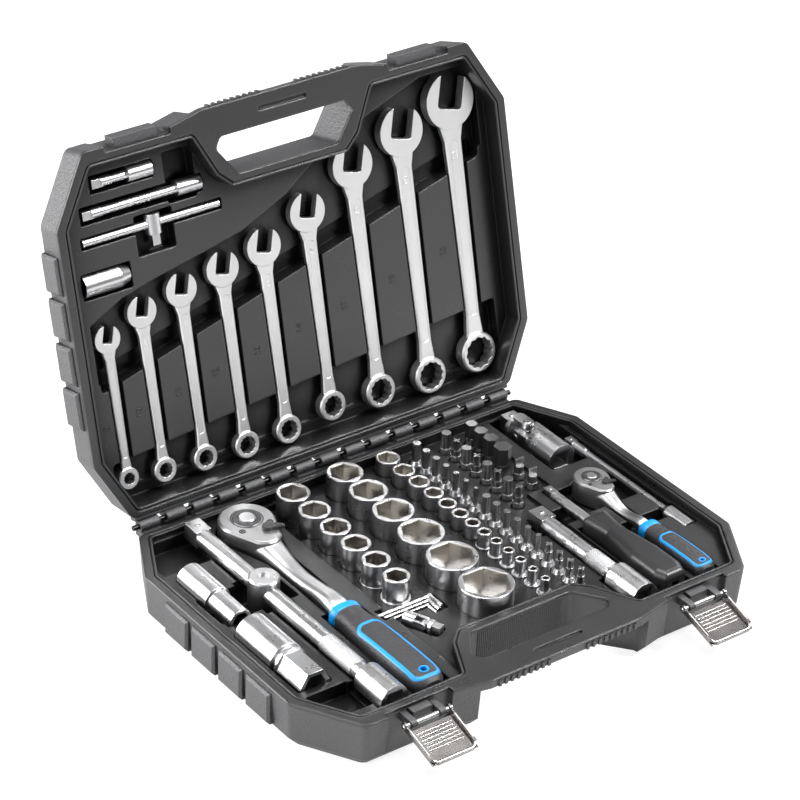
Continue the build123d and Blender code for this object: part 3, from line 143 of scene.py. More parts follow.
class Finish:
    """A material under one name, with its Principled shader ready to be fed."""

    def __init__(self, name, **constants):
        self.material = bpy.data.materials.new(name)
        self.material.use_nodes = True
        self.tree = self.material.node_tree
        self.shader = self.tree.nodes["Principled BSDF"]
        for socket, value in constants.items():
            self.shader.inputs[socket.replace("_", " ")].default_value = value
        self.place = self.node("ShaderNodeTexCoord", output="Object")

    def node(self, kind, settings=None, inputs=None, output=0):
        made = self.tree.nodes.new(kind)
        for name, value in (settings or {}).items():
            setattr(made, name, value)
        for name, value in (inputs or {}).items():
            if isinstance(value, Value):
                self.tree.links.new(value.socket, made.inputs[name])
            else:
                made.inputs[name].default_value = value
        return Value(self, made.outputs[output])

    def feed(self, socket, value):
        self.tree.links.new(value.socket, self.shader.inputs[socket])

    def axis(self, name):
        """How far a point lies along X, Y or Z."""
        return self.node("ShaderNodeSeparateXYZ", {}, {0: self.place}, output=name)

    def noise(self, scale, detail=3.0):
        inputs = {"Vector": self.place, "Scale": scale, "Detail": detail,
                  "Roughness": NOISE_ROUGHNESS}
        return self.node("ShaderNodeTexNoise", {}, inputs)

    def cells(self, scale, feature):
        """Distance to the nearest of many scattered points."""
        inputs = {"Vector": self.place, "Scale": scale}
        return self.node("ShaderNodeTexVoronoi", {"feature": feature}, inputs, output="Distance")

    def between(self, low, high, share):
        """A colour that runs from low to high as share runs from 0 to 1."""
        inputs = {0: share, MIX_FROM: (*low, 1.0), MIX_TO: (*high, 1.0)}
        return self.node("ShaderNodeMix", {"data_type": "RGBA"}, inputs, output=MIX_COLOUR)

    def painted_occlusion(self, reach, floor, gain):
        """Painted shade: 1 on open faces, falling to 0 in wells and under neighbours closer than reach."""
        settings = {"samples": PAINTED_OCCLUSION_SAMPLES}
        seen = self.node("ShaderNodeAmbientOcclusion", settings, {"Distance": reach}, output="AO")
        return ((seen - floor) * gain).squeezed()

    def bump(self, height, distance, strength, edge):
        """Fine relief on a normal that rolls over sharp edges, as every moulded or forged edge does."""
        rolled = self.node("ShaderNodeBevel", {"samples": ROLLED_EDGE_SAMPLES}, {"Radius": edge})
        inputs = {"Height": height, "Distance": distance, "Strength": strength, "Normal": rolled}
        self.feed("Normal", self.node("ShaderNodeBump", {}, inputs))

    def dulled(self, share, specular):
        """Lays a duller copy of the shader over it wherever share falls to 0."""
        inputs = {"Specular IOR Level": specular}
        for name in ("Base Color", "Roughness", "Normal"):
            inputs[name] = Value(self, self.shader.inputs[name].links[0].from_socket)
        dull = self.node("ShaderNodeBsdfPrincipled", {}, inputs)
        glossy = Value(self, self.shader.outputs[0])
        mixed = self.node("ShaderNodeMixShader", {}, {0: share, 1: dull, 2: glossy})
        self.tree.links.new(mixed.socket, self.tree.nodes["Material Output"].inputs["Surface"])


print("shader helpers ready")

# %% [markdown]
# ## Black plastics
# The shells are blow-moulded with a fine leather grain, which scatters the light so that the walls look
# grey. The trays are vacuum-formed, smoother and a deeper black, so the two differ most in bump and
# roughness. Both carry painted shade: their colour darkens in wells, corners and beside nearby tools, and
# there a duller, less reflective shader is mixed in over the glossy one, so their reflections fade out too.

# %% Case and tray plastic


def grained_plastic():
    finish = Finish("grained_case_plastic", Specular_IOR_Level=0.85)
    # Painted shade: the colour darkens and the gloss fades in wells, corners and beside nearby tools; a little
    # random tone is mixed into the colour.
    painted_light_share = finish.painted_occlusion(reach=0.012, floor=0.30, gain=1.6)
    painted_shade_and_tone = 0.6 * painted_light_share + 0.4 * finish.noise(scale=14.0, detail=4.0)
    leather = finish.cells(620.0, "SMOOTH_F1") + 0.6 * finish.noise(scale=1500.0, detail=2.0)
    finish.feed("Base Color", finish.between((0.008, 0.008, 0.009), (0.038, 0.038, 0.041), painted_shade_and_tone))
    finish.feed("Roughness", 0.42 + 0.16 * finish.noise(scale=900.0, detail=2.0))
    finish.bump(leather, distance=0.0006, strength=0.60, edge=0.0012)
    finish.dulled(painted_light_share, specular=0.28)
    return finish.material


def tray_plastic():
    finish = Finish("satin_tray_plastic", Specular_IOR_Level=0.75)
    # Painted shade: the colour darkens and the gloss fades in wells, corners and beside nearby tools; a little
    # random tone is mixed into the colour.
    painted_light_share = finish.painted_occlusion(reach=0.030, floor=0.52, gain=2.4)
    painted_shade_and_tone = 0.7 * painted_light_share + 0.3 * finish.noise(scale=20.0, detail=4.0)
    finish.feed("Base Color", finish.between((0.002, 0.002, 0.002), (0.020, 0.020, 0.0205), painted_shade_and_tone))
    finish.feed("Roughness", 0.24 + 0.10 * finish.noise(scale=60.0, detail=4.0))
    finish.bump(finish.noise(scale=900.0, detail=2.0), distance=0.0001, strength=0.25, edge=0.0018)
    finish.dulled(painted_light_share, specular=0.16)
    return finish.material


CASE = grained_plastic()
TRAY = tray_plastic()
print("plastics", CASE.name, TRAY.name)

# %% [markdown]
# ## Bright metals
# Chrome is a mirror with very little colour of its own. Drop-forged wrenches are shot-blasted before they
# are plated, which leaves a pale satin skin. Sockets and bars are turned and polished, so they mirror the
# room. The forged ratchets are darker, and the pins are one solid, so their place decides their colour.

# %% Chrome, satin chrome, nickel and steel


def metal(name, dark, light, rough, spread, grain, edge):
    finish = Finish(name, Metallic=1.0)
    finish.feed("Base Color", finish.between(dark, light, finish.noise(scale=30.0)))
    finish.feed("Roughness", rough + spread * finish.noise(grain, detail=4.0))
    finish.bump(finish.noise(grain * 8.0, detail=2.0), distance=0.00001, strength=0.3, edge=edge)
    return finish.material


def pin_steel():
    """Bright at the latches in front, and dark with oil at the hinge behind."""
    finish = Finish("pin_steel", Metallic=1.0)
    bright = (finish.axis("Y") < 0.0) * (0.8 + 0.2 * finish.noise(scale=90.0))
    finish.feed("Base Color", finish.between((0.03, 0.03, 0.03), (0.46, 0.46, 0.45), bright))
    finish.feed("Roughness", 0.24 + 0.14 * finish.noise(scale=90.0))
    return finish.material


CHROME = metal("polished_chrome", (0.56, 0.56, 0.57), (0.68, 0.68, 0.69),
               rough=0.23, spread=0.12, grain=120.0, edge=0.0005)
FORGED = metal("forged_chrome", (0.40, 0.40, 0.405), (0.52, 0.52, 0.525),
               rough=0.27, spread=0.14, grain=160.0, edge=0.0007)
SATIN = metal("satin_chrome", (0.70, 0.70, 0.70), (0.84, 0.84, 0.84),
              rough=0.32, spread=0.12, grain=200.0, edge=0.0008)
NICKEL = metal("bright_nickel", (0.20, 0.19, 0.185), (0.29, 0.28, 0.275),
               rough=0.20, spread=0.08, grain=60.0, edge=0.0003)
STEEL = metal("drawn_steel", (0.40, 0.40, 0.40), (0.52, 0.52, 0.51),
              rough=0.20, spread=0.16, grain=90.0, edge=0.0003)
GUNMETAL = metal("gunmetal_bits", (0.22, 0.22, 0.225), (0.34, 0.34, 0.345),
                 rough=0.24, spread=0.14, grain=90.0, edge=0.0003)
TOOL_STEEL = metal("hardened_tool_steel", (0.36, 0.36, 0.365), (0.48, 0.48, 0.485),
                   rough=0.22, spread=0.14, grain=90.0, edge=0.0003)
LINING = metal("bored_steel", (0.42, 0.40, 0.37), (0.60, 0.57, 0.53),
               rough=0.22, spread=0.16, grain=220.0, edge=0.0003)
PINS = pin_steel()
print("metals ready")

# %% [markdown]
# ## Grips and dark fittings
# The ratchet grips have two moulded materials: a dimpled black rubber body and a bright blue inlay. The
# spinner handle is one hard black plastic, and the levers and button rings are chemically blackened.

# %% Rubber, blue inlay and black fittings


def plain_finish(name, low, high, rough, grain):
    """An even colour with a little cloudiness, used for smooth plastics and for blackened steel."""
    finish = Finish(name, Specular_IOR_Level=0.45)
    finish.feed("Base Color", finish.between(low, high, finish.noise(scale=40.0, detail=4.0)))
    finish.feed("Roughness", rough + 0.12 * finish.noise(scale=220.0))
    finish.bump(finish.noise(grain, detail=2.0), distance=0.0001, strength=0.4, edge=0.0008)
    return finish.material


def dimpled_rubber():
    finish = Finish("grip_rubber", Specular_IOR_Level=0.45)
    cloud = finish.noise(scale=40.0, detail=4.0)
    finish.feed("Base Color", finish.between((0.016, 0.016, 0.018), (0.028, 0.028, 0.030), cloud))
    finish.feed("Roughness", 0.44 + 0.12 * finish.noise(scale=220.0))
    dimples = finish.cells(420.0, "F1") + 0.2 * finish.noise(scale=1800.0, detail=2.0)
    finish.bump(dimples, distance=0.0005, strength=0.5, edge=0.0010)
    return finish.material


RUBBER = dimpled_rubber()
BLUE = plain_finish("blue_inlay", (0.0, 0.200, 0.540), (0.0, 0.245, 0.610), rough=0.34, grain=1500.0)
SPINNER = plain_finish("spinner_plastic", (0.014, 0.014, 0.015), (0.020, 0.020, 0.021),
                       rough=0.26, grain=1400.0)
MARKS = plain_finish("raised_marks", (0.030, 0.030, 0.031), (0.040, 0.040, 0.041),
                     rough=0.30, grain=900.0)
BLACKENED = plain_finish("blackened_steel", (0.020, 0.020, 0.021), (0.040, 0.040, 0.042),
                         rough=0.28, grain=1200.0)
FINISHES = {"case_plastic": CASE, "tray_plastic": TRAY, "latch_nickel": NICKEL, "pin_steel": STEEL,
            "chrome": CHROME, "satin_chrome": SATIN, "bit_steel": GUNMETAL, "dark_metal": BLACKENED,
            "grip_rubber": RUBBER, "grip_blue": BLUE, "spinner_plastic": SPINNER}
OWN_FINISH = {"bit_sockets": TOOL_STEEL, "hexagon_keys": STEEL, "hinge_and_latch_pins": PINS,
              "ratchet_large_body": FORGED, "ratchet_small_body": FORGED}


def dress_solids():
    for entry in frame["record"]["subparts"]:
        mesh = nodes[entry["node"]].data
        mesh.materials.clear()
        mesh.materials.append(OWN_FINISH.get(entry["node"], FINISHES[entry["material_slot"]]))
    return len(frame["record"]["subparts"])


print(dress_solids(), "solids dressed")

# %% [markdown]
# ## Places from the frame
# The small pieces below are drawn in millimetres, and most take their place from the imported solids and
# their joints. Things in the lid are drawn with the lid shut, where every deck is level, and then swung
# open with the same turn as the CAD model.

# %% Extents, pivots and the turn of the lid
MM = 1000.0
STAY = Matrix.Identity(4)
RIM_GAP = 0.3
JOINTS = {joint["name"]: joint for joint in frame["joints"]}
Extent = namedtuple("Extent", ("low", "high", "middle"))


def extent(node):
    """Lowest corner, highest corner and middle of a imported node, in millimetres."""
    low, high = (Vector(corner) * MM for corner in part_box(node))
    return Extent(low, high, (low + high) / 2)


def pivot(joint):
    """The point that a joint turns about, in millimetres."""
    return Vector(JOINTS[joint]["pos_m"]) * MM


def at(x, y, z=0.0):
    return Matrix.Translation((x, y, z))


def about_x(point, angle):
    """A turn about the line through a point along X."""
    return Matrix.Translation(point) @ Matrix.Rotation(angle, 4, "X") @ Matrix.Translation(-point)


RIM = extent("base_tray").high.z
LID_RIM = RIM + RIM_GAP
HINGE = pivot("lid_hinge")
OPEN = about_x(HINGE, radians(JOINTS["lid_hinge"]["range_deg"][0]))
print("rim", round(RIM, 2), "hinge", [round(v, 2) for v in HINGE])

# %% [markdown]
# ## Building small pieces
# Three operators make nearly every small piece. Spin turns a profile as a lathe does, extrude pulls a flat
# outline up into a prism, and bridging skins a row of rings. A finished mesh is scaled to metres itself, so
# that its object sits at the origin, unturned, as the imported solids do.

# %% Mesh helpers
MERGED_WITHIN = 1e-4


def sealed(sheet):
    """Merges doubled points, so that seams and poles close, and turns every face outwards."""
    bmesh.ops.remove_doubles(sheet, verts=sheet.verts, dist=MERGED_WITHIN)
    bmesh.ops.recalc_face_normals(sheet, faces=sheet.faces)


def as_mesh(name, sheet):
    data = bpy.data.meshes.new(name)
    sheet.to_mesh(data)
    sheet.free()
    return data


def piece(name, sheet, finish, body, place=STAY):
    """Closes the mesh, puts it in place in metres and lets it ride on a body."""
    sealed(sheet)
    bmesh.ops.transform(sheet, matrix=Matrix.Scale(1 / MM, 4) @ place, verts=sheet.verts)
    made = in_scene(name, as_mesh(name, sheet))
    made.data.materials.append(finish)
    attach(made, body)
    return made


def turned(sheet, profile, place, steps):
    """Spins a profile of (radius, height) points. One that starts on the axis stays open along it."""
    known = set(sheet.verts)
    points = [sheet.verts.new((radius, 0.0, height)) for radius, height in profile]
    back = points[:1] if profile[0][0] > 0.0 else []
    edges = [sheet.edges.new(pair) for pair in zip(points, points[1:] + back)]
    bmesh.ops.spin(sheet, geom=points + edges, cent=(0, 0, 0), axis=UP, angle=2 * pi, steps=steps,
                   use_merge=True)
    fresh = [vert for vert in sheet.verts if vert not in known]
    bmesh.ops.transform(sheet, matrix=place, verts=fresh)


def prism(sheet, outline, low, high, place=STAY):
    """A flat outline that is pulled up from one height to another."""
    foot = [sheet.verts.new((x, y, low)) for x, y in outline]
    pulled = bmesh.ops.extrude_face_region(sheet, geom=[sheet.faces.new(foot)])["geom"]
    top = [part for part in pulled if isinstance(part, bmesh.types.BMVert)]
    bmesh.ops.translate(sheet, vec=(0.0, 0.0, high - low), verts=top)
    bmesh.ops.transform(sheet, matrix=place, verts=foot + top)


def skin(sheet, rings, closed=False):
    """Bridges a row of rings of equal count, and joins the two ends or caps them."""
    loops = []
    for ring in rings:
        verts = [sheet.verts.new(point) for point in ring]
        loops.append([sheet.edges.new(pair) for pair in zip(verts, verts[1:] + verts[:1])])
    for first, second in zip(loops, loops[1:] + (loops[:1] if closed else [])):
        bmesh.ops.bridge_loops(sheet, edges=first + second)
    if not closed:
        for loop in (loops[0], loops[-1]):
            bmesh.ops.contextual_create(sheet, geom=loop)


print("mesh helpers ready")

# %% [markdown]
# ## Inside the sockets
# A socket is broached: a six-sided cutter is pushed through, which leaves a duller, slightly warmer surface
# than the plated outside. Each lining is a thin six-sided tube just inside the hole. It ends a little under
# the rim, so that the bright edge of the socket still shows.

# %% Line the sockets
HALF_INCH = sorted(int(name[-2:]) for name in nodes if name.startswith("socket_"))
HALF_INCH_BORE = 0.42
QUARTER = ((14, 18.2), (13, 17.2), (12, 16.4), (11, 15.2), (10, 14.0), (9, 13.0), (8, 12.0), (7, 10.6),
           (6, 9.4), (5.5, 8.8), (5, 8.2), (4.5, 7.6), (4, 7.0))
QUARTER_FOOT = 12.0
QUARTER_GAP = 2.1
QUARTER_BORE = 12.4
SMALL_HOLE = 6
HOLE_PLAY = 0.14
OVERLAP = 0.05


def lining(sheet, x, y, top, size, depth):
    """A tube with six sides is a profile that is spun in six steps."""
    wall, below_rim = (0.12, 0.3) if size <= SMALL_HOLE else (0.22, 0.6)
    outer = (size + HOLE_PLAY) / 2 / cos(pi / 6)
    inner = outer - wall / cos(pi / 6)
    low, high = top - depth, top - below_rim
    turned(sheet, [(outer, low), (outer, high), (inner, high), (inner, low)], at(x, y), steps=6)


def line_half_inch():
    for size in HALF_INCH:
        node = "socket_%02d" % size
        box = extent(node)
        depth = (box.high.z - box.low.z) * HALF_INCH_BORE - OVERLAP
        sheet = bmesh.new()
        lining(sheet, box.middle.x, box.middle.y, box.high.z, size, depth)
        piece("lining_%02d" % size, sheet, LINING, node)
    return len(HALF_INCH)


def line_quarter_inch():
    """Walks down the row from its back end, where each socket stands on a foot of a least width."""
    row = extent("quarter_sockets")
    y = row.high.y - QUARTER[0][1] / 2
    last = None
    sheet = bmesh.new()
    for size, wide in QUARTER:
        foot = max(wide, QUARTER_FOOT)
        if last:
            y -= (foot + last) / 2 + QUARTER_GAP
        last = foot
        lining(sheet, row.middle.x, y, row.high.z, size, QUARTER_BORE)
    return piece("quarter_linings", sheet, LINING, "base")


print(line_half_inch(), "half-inch linings,", line_quarter_inch().name)

# %% [markdown]
# ## Ratchet heads
# The round cover of a ratchet head is held by two screws, a thin dark ring marks its seam, and a blackened
# ring keeps the release button in the middle. A screw head is a turned ring with a cross inside that stands
# a little lower, so the recess is real and catches its own shadow. All widths follow the head's radius.

# %% Rings and screws on the ratchets
ARM = 0.3
CROSS = ((1, ARM), (ARM, ARM), (ARM, 1), (-ARM, 1), (-ARM, ARM), (-1, ARM), (-1, -ARM), (-ARM, -ARM),
         (-ARM, -1), (ARM, -1), (ARM, -ARM), (1, -ARM))
RING_INNER, RING_OUTER, RING_TALL = 0.315, 0.512, 0.5
SEAM_INNER, SEAM_OUTER, SEAM_TALL = 0.545, 0.585, 0.06
SCREW_ASIDE, SCREW_AHEAD, SCREW_RADIUS = 0.57, 0.58, 0.125
SCREW_TALL, CROSS_TALL = 0.28, 0.18


def button_ring(sheet, place, radius):
    inner, outer = RING_INNER * radius, RING_OUTER * radius
    profile = [(inner, 0.0), (inner, RING_TALL / 2), (inner + 0.3, RING_TALL), (outer - 0.4, RING_TALL),
               (outer, 0.1), (outer, 0.0)]
    turned(sheet, profile, place, steps=56)


def cover_seam(sheet, place, radius):
    inner, outer = SEAM_INNER * radius, SEAM_OUTER * radius
    profile = [(inner, -0.02), (inner, SEAM_TALL), (outer, SEAM_TALL), (outer, -0.02)]
    turned(sheet, profile, place, steps=64)


def screw(sheet, place, radius):
    """A low domed head with a cross standing a little lower than its rim."""
    profile = [(0.62 * radius, 0.0), (0.62 * radius, SCREW_TALL), (0.80 * radius, SCREW_TALL),
               (radius, 0.12), (radius, 0.0)]
    turned(sheet, profile, place, steps=28)
    prism(sheet, [(0.6 * radius * x, 0.6 * radius * y) for x, y in CROSS], 0.0, CROSS_TALL, place)


def dress_ratchet(size):
    body = "ratchet_" + size
    box = extent(body + "_body")
    face, radius = box.high.z, (box.high.x - box.low.x) / 2
    button = extent(body + "_button").middle
    ring = bmesh.new()
    button_ring(ring, at(button.x, button.y, extent(body + "_drive").high.z), radius)
    piece(body + "_button_ring", ring, BLACKENED, body + "_drive")
    screws = bmesh.new()
    for side in (-1, 1):
        spot = at(button.x + side * SCREW_ASIDE * radius, button.y - SCREW_AHEAD * radius, face)
        screw(screws, spot, SCREW_RADIUS * radius)
    piece(body + "_cover_screws", screws, BLACKENED, body)
    seam = bmesh.new()
    cover_seam(seam, at(button.x, button.y, face), radius)
    piece(body + "_cover_groove", seam, BLACKENED, body)
    return body


print(dress_ratchet("large"), dress_ratchet("small"))

# %% [markdown]
# ## Two-colour grips
# The grip of a ratchet is moulded twice: first the black body, then a blue band let into its top, with a
# blue collar where the neck comes out. The body is a loft. Each cross section is a superellipse, which lies
# between an oval and a rectangle, and its width and height run smoothly through a few stations along the
# handle. The band is carried over the same formula, so that it hugs the crown of the grip everywhere.

# %% The form of a grip
STATIONS = ((0.0, 0.80, 0.86), (0.10, 0.79, 0.88), (0.25, 0.89, 0.93), (0.45, 0.98, 0.96),
            (0.65, 1.0, 0.965), (0.82, 0.98, 0.955), (0.92, 0.90, 0.90), (0.97, 0.76, 0.78),
            (1.0, 0.54, 0.56))
COLLAR = ((0.0, 0.66, 0.72), (0.12, 0.80, 0.84), (0.30, 0.86, 0.89), (0.80, 0.86, 0.89), (1.0, 0.79, 0.84))
SQUARENESS = 2.8
RING_POINTS = 56


def between_stations(stations, share):
    """Width and height at a share of the length, on a smooth curve through the stations."""
    last = len(stations) - 1
    index = max(step for step in range(last) if stations[step][0] <= share or step == 0)
    near = [stations[min(max(step, 0), last)] for step in range(index - 1, index + 3)]
    t = (share - near[1][0]) / (near[2][0] - near[1][0])
    sizes = []
    for a, b, c, d in zip(*[station[1:] for station in near]):
        sizes.append(b + 0.5 * t * (c - a + t * (2 * a - 5 * b + 4 * c - d + t * (3 * (b - c) + d - a))))
    return sizes


class Grip:
    """A handle that lies along Y, between two heights, with its crown upwards."""

    def __init__(self, size):
        self.body = "ratchet_" + size
        low, high, middle = extent(self.body + "_grip")
        self.x, self.level = middle.x, middle.z
        self.half, self.tall = (high.x - low.x) / 2, (high.z - low.z) / 2
        self.start, self.end = high.y, low.y
        self.length = high.y - low.y
        self.collar = extent(self.body + "_inlay").high.y

    def section(self, width, height, y):
        """One closed ring of the loft."""
        ring = []
        for step in range(RING_POINTS):
            turn = 2 * pi * step / RING_POINTS
            across = copysign(abs(cos(turn)) ** (2 / SQUARENESS), cos(turn))
            up = copysign(abs(sin(turn)) ** (2 / SQUARENESS), sin(turn))
            ring.append((self.x + self.half * width * across, y, self.level + self.tall * height * up))
        return ring

    def crown(self, x, y):
        """Height of the top of the grip over a point."""
        width, height = between_stations(STATIONS, (self.start - y) / self.length)
        reach = min(abs(x - self.x) / (self.half * width), 0.999)
        return self.level + self.tall * height * (1 - reach ** SQUARENESS) ** (1 / SQUARENESS)


def lofted(grip, stations, start, end, steps):
    """A new bmesh whose sections run through the stations from start to end."""
    rings = []
    for step in range(steps + 1):
        share = step / steps
        width, height = between_stations(stations, share)
        rings.append(grip.section(width, height, start + (end - start) * share))
    sheet = bmesh.new()
    skin(sheet, rings)
    return sheet


print(len(STATIONS), "stations on a grip")

# %% [markdown]
# ## Eye and band of the grips
# Each grip has an eye to hang it by, which is bored through the finished loft with a boolean, and a blue
# sleeve lines it. The band is a low bead: a small rounded section that follows an oblong track with round
# corners, seen from above, at the height of the crown.

# %% Bore and trim the grips
EYE_FROM_END = 0.115
BAND_BACK, BAND_FRONT, BAND_HALF, BAND_CORNER = 0.24, 0.045, 0.72, 0.42
BEAD = ((-1.0, -0.25), (-0.85, 0.10), (-0.45, 0.28), (0.45, 0.28), (0.85, 0.10), (1.0, -0.25),
        (0.8, -0.9), (-0.8, -0.9))
BEAD_SPACING = 2.5
ARC_STEPS = 10
COLLAR_OVERLAP = 1.5
SLEEVE_FOOT = 2.6
SHARP_EDGE = radians(35.0)


def drilled(sheet, x, y, low, high, radius):
    """The mesh with a round hole bored upright through it."""
    bit = bmesh.new()
    turned(bit, [(0.0, low), (radius, low), (radius, high), (0.0, high)], at(x, y), steps=32)
    sealed(sheet)
    sealed(bit)
    blank = in_scene("blank", as_mesh("blank", sheet))
    cutter = in_scene("bit", as_mesh("bit", bit))
    cut = blank.modifiers.new("bore", "BOOLEAN")
    cut.object, cut.operation, cut.solver = cutter, "DIFFERENCE", "EXACT"
    bored = bpy.data.meshes.new_from_object(blank.evaluated_get(bpy.context.evaluated_depsgraph_get()))
    result = bmesh.new()
    result.from_mesh(bored)
    for data in (bored, blank.data, cutter.data):
        bpy.data.meshes.remove(data)
    return result


def rounded_track(grip):
    """Points round an oblong with round corners, seen from above, each with its outward direction."""
    back = grip.start - BAND_BACK * grip.length
    front = grip.end + BAND_FRONT * grip.length
    corner = BAND_CORNER * grip.half
    inset = BAND_HALF * grip.half - corner
    corners = ((inset, back - corner), (-inset, back - corner),
               (-inset, front + corner), (inset, front + corner))
    track = []
    for quarter, (aside, y) in enumerate(corners):
        for step in range(ARC_STEPS + 1):
            turn = pi / 2 * (quarter + step / ARC_STEPS)
            out = Vector((cos(turn), sin(turn)))
            track.append((Vector((grip.x + aside, y)) + corner * out, out))
    return track


def dense(track, longest):
    """The same closed track with extra points on its straight runs."""
    filled = []
    for (point, out), (ahead, out_ahead) in zip(track, track[1:] + track[:1]):
        count = max(1, int((ahead - point).length / longest))
        shares = [step / count for step in range(count)]
        filled += [(point.lerp(ahead, share), out.lerp(out_ahead, share)) for share in shares]
    return filled


def blue_band(grip, sheet, half_band):
    """A low rounded bead that follows the track over the crown."""
    rings = []
    for point, out in dense(rounded_track(grip), BEAD_SPACING):
        spots = [(point + offset * half_band * out, rise) for offset, rise in BEAD]
        rings.append([(spot.x, spot.y, grip.crown(spot.x, spot.y) + rise) for spot, rise in spots])
    skin(sheet, rings, closed=True)


def smooth(made):
    made.data.shade_smooth()
    made.data.set_sharp_from_angle(angle=SHARP_EDGE)
    return made


def dress_grip(size, eye, band):
    grip = Grip(size)
    eye_y = grip.end + EYE_FROM_END * grip.length
    top = grip.crown(grip.x, eye_y)
    low = grip.level - grip.tall
    black = lofted(grip, STATIONS, grip.start, grip.end, steps=48)
    black = drilled(black, grip.x, eye_y, low - 1, top + 1, eye)
    handle = smooth(piece(grip.body + "_handle", black, RUBBER, grip.body))
    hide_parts(grip.body + "_grip")
    blue = lofted(grip, COLLAR, grip.collar, grip.start - COLLAR_OVERLAP, steps=16)
    blue_band(grip, blue, band)
    foot = low + SLEEVE_FOOT
    sleeve = [(eye - 0.8, foot), (eye - 0.8, top - 0.3), (eye - 0.3, top + 0.1), (eye + 0.5, top + 0.1),
              (eye + 0.8, top - 0.3), (eye + 0.1, top - 0.3), (eye + 0.1, foot)]
    turned(blue, sleeve, at(grip.x, eye_y), steps=32)
    trim = smooth(piece(grip.body + "_trim", blue, BLUE, grip.body))
    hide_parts(grip.body + "_inlay")
    return handle.name, len(handle.data.polygons), trim.name, len(trim.data.polygons)


print(*dress_grip("large", eye=3.3, band=1.5), *dress_grip("small", eye=2.3, band=1.0))

# %% [markdown]
# ## Reversing levers
# The thumb end of each lever is ribbed so that it doesn't slip. The ribs are small bars laid across the
# arm, which runs off at an angle from the pivot. The small lever is the large one scaled down.

# %% Ribs on the levers
LEVER_ARM = Vector((-10.0, 5.9, 0.0)).normalized()
LEVER_ACROSS = Vector((-LEVER_ARM.y, LEVER_ARM.x, 0.0))
RIBS = 4
FIRST_RIB, RIB_STEP, RIB_ASIDE = 2.2, 1.5, -0.9
RIB_HALF_LENGTH, RIB_HALF_WIDTH, RIB_TALL = 1.4, 0.35, 0.3


def lever_ribs(size, share):
    body = "ratchet_" + size + "_lever"
    box = extent(body)
    top = box.high.z
    tip = Vector((box.high.x, box.low.y, top))
    sheet = bmesh.new()
    for step in range(RIBS):
        spot = tip + share * ((FIRST_RIB + RIB_STEP * step) * LEVER_ARM + RIB_ASIDE * LEVER_ACROSS)
        bar = []
        for long, wide in ((-1, -1), (1, -1), (1, 1), (-1, 1)):
            reach = long * RIB_HALF_LENGTH * LEVER_ACROSS + wide * RIB_HALF_WIDTH * LEVER_ARM
            bar.append((spot + share * reach).xy)
        prism(sheet, bar, top - OVERLAP, top + share * RIB_TALL)
    return piece(body + "_ribs", sheet, BLACKENED, body)


print(lever_ribs("large", share=1.0).name, lever_ribs("small", share=0.643).name)

# %% [markdown]
# ## Knurling on the extension bars
# A knurl is rolled by two wheels with slanting teeth, one left-handed and one right-handed, so the metal
# rises in diamonds where both sets of grooves leave it alone. The sleeve multiplies two slanting waves,
# which gives those diamonds directly.

# %% Knurled sleeves
KNURL_RADIUS, KNURL_RISE, KNURL_WALL = 7.0, 0.40, 0.3
KNURL_TEETH, KNURL_PITCH = 20, 2.2
KNURL_STEPS = 120
KNURL_ANGLES = [2 * pi * step / KNURL_STEPS for step in range(KNURL_STEPS)]


def diamonds(along):
    """Height of the knurl round the bar, at one distance along it."""
    wave = 2 * pi * along / KNURL_PITCH
    heights = []
    for angle in KNURL_ANGLES:
        left, right = cos(KNURL_TEETH * angle + wave), cos(KNURL_TEETH * angle - wave)
        heights.append(KNURL_RISE * (1 + left) * (1 + right) / 4)
    return heights


def knurled_sleeve(name, body, start, length, rows):
    bar = extent(body)
    axis, front = bar.middle, bar.low.y + start
    level = [0.0] * KNURL_STEPS
    inside = [-KNURL_WALL] * KNURL_STEPS
    lanes = [(0.0, inside), (0.0, level)]
    lanes += [(length * row / rows, diamonds(length * row / rows)) for row in range(1, rows)]
    lanes += [(length, level), (length, inside)]
    rings = []
    for along, heights in lanes:
        reaches = [KNURL_RADIUS + height for height in heights]
        rings.append([(axis.x + reach * sin(angle), front + along, axis.z + reach * cos(angle))
                      for reach, angle in zip(reaches, KNURL_ANGLES)])
    sheet = bmesh.new()
    skin(sheet, rings, closed=True)
    return piece(name, sheet, FORGED, body)


print(knurled_sleeve("long_bar_knurl", "extension_long", start=41.3, length=37.4, rows=68).name,
      knurled_sleeve("short_bar_knurl", "extension_short", start=37.3, length=22.4, rows=40).name)

# %% [markdown]
# ## Locking balls
# A drive square has a spring ball that snaps into the socket. Only a cap of it stands out of the face,
# inside a staked ring, so a shallow turned dome is enough. Five squares that lie face up get one.

# %% Balls on the drive squares
HALF_INCH_DRIVE = {"half": 6.30, "radius": 2.0}
QUARTER_DRIVE = {"half": 3.125, "radius": 1.0}
DOME = 0.62
DOME_ANGLES = (0.0, 0.3, 0.6, 0.9, 1.2)


def ball(name, body, node, from_end, half, radius):
    """A ball on the upper face of the square, at a distance from the back end of a node."""
    box = extent(node)
    ring = [(0.0, -0.1), (1.25 * radius, -0.1), (1.25 * radius, 0.08), (1.05 * radius, 0.08)]
    dome = [(radius * cos(angle), DOME * radius * sin(angle)) for angle in DOME_ANGLES]
    place = at(box.middle.x, box.high.y - from_end, box.middle.z + half)
    sheet = bmesh.new()
    turned(sheet, ring + dome + [(0.0, DOME * radius)], place, steps=24)
    return piece(name, sheet, STEEL, body).name


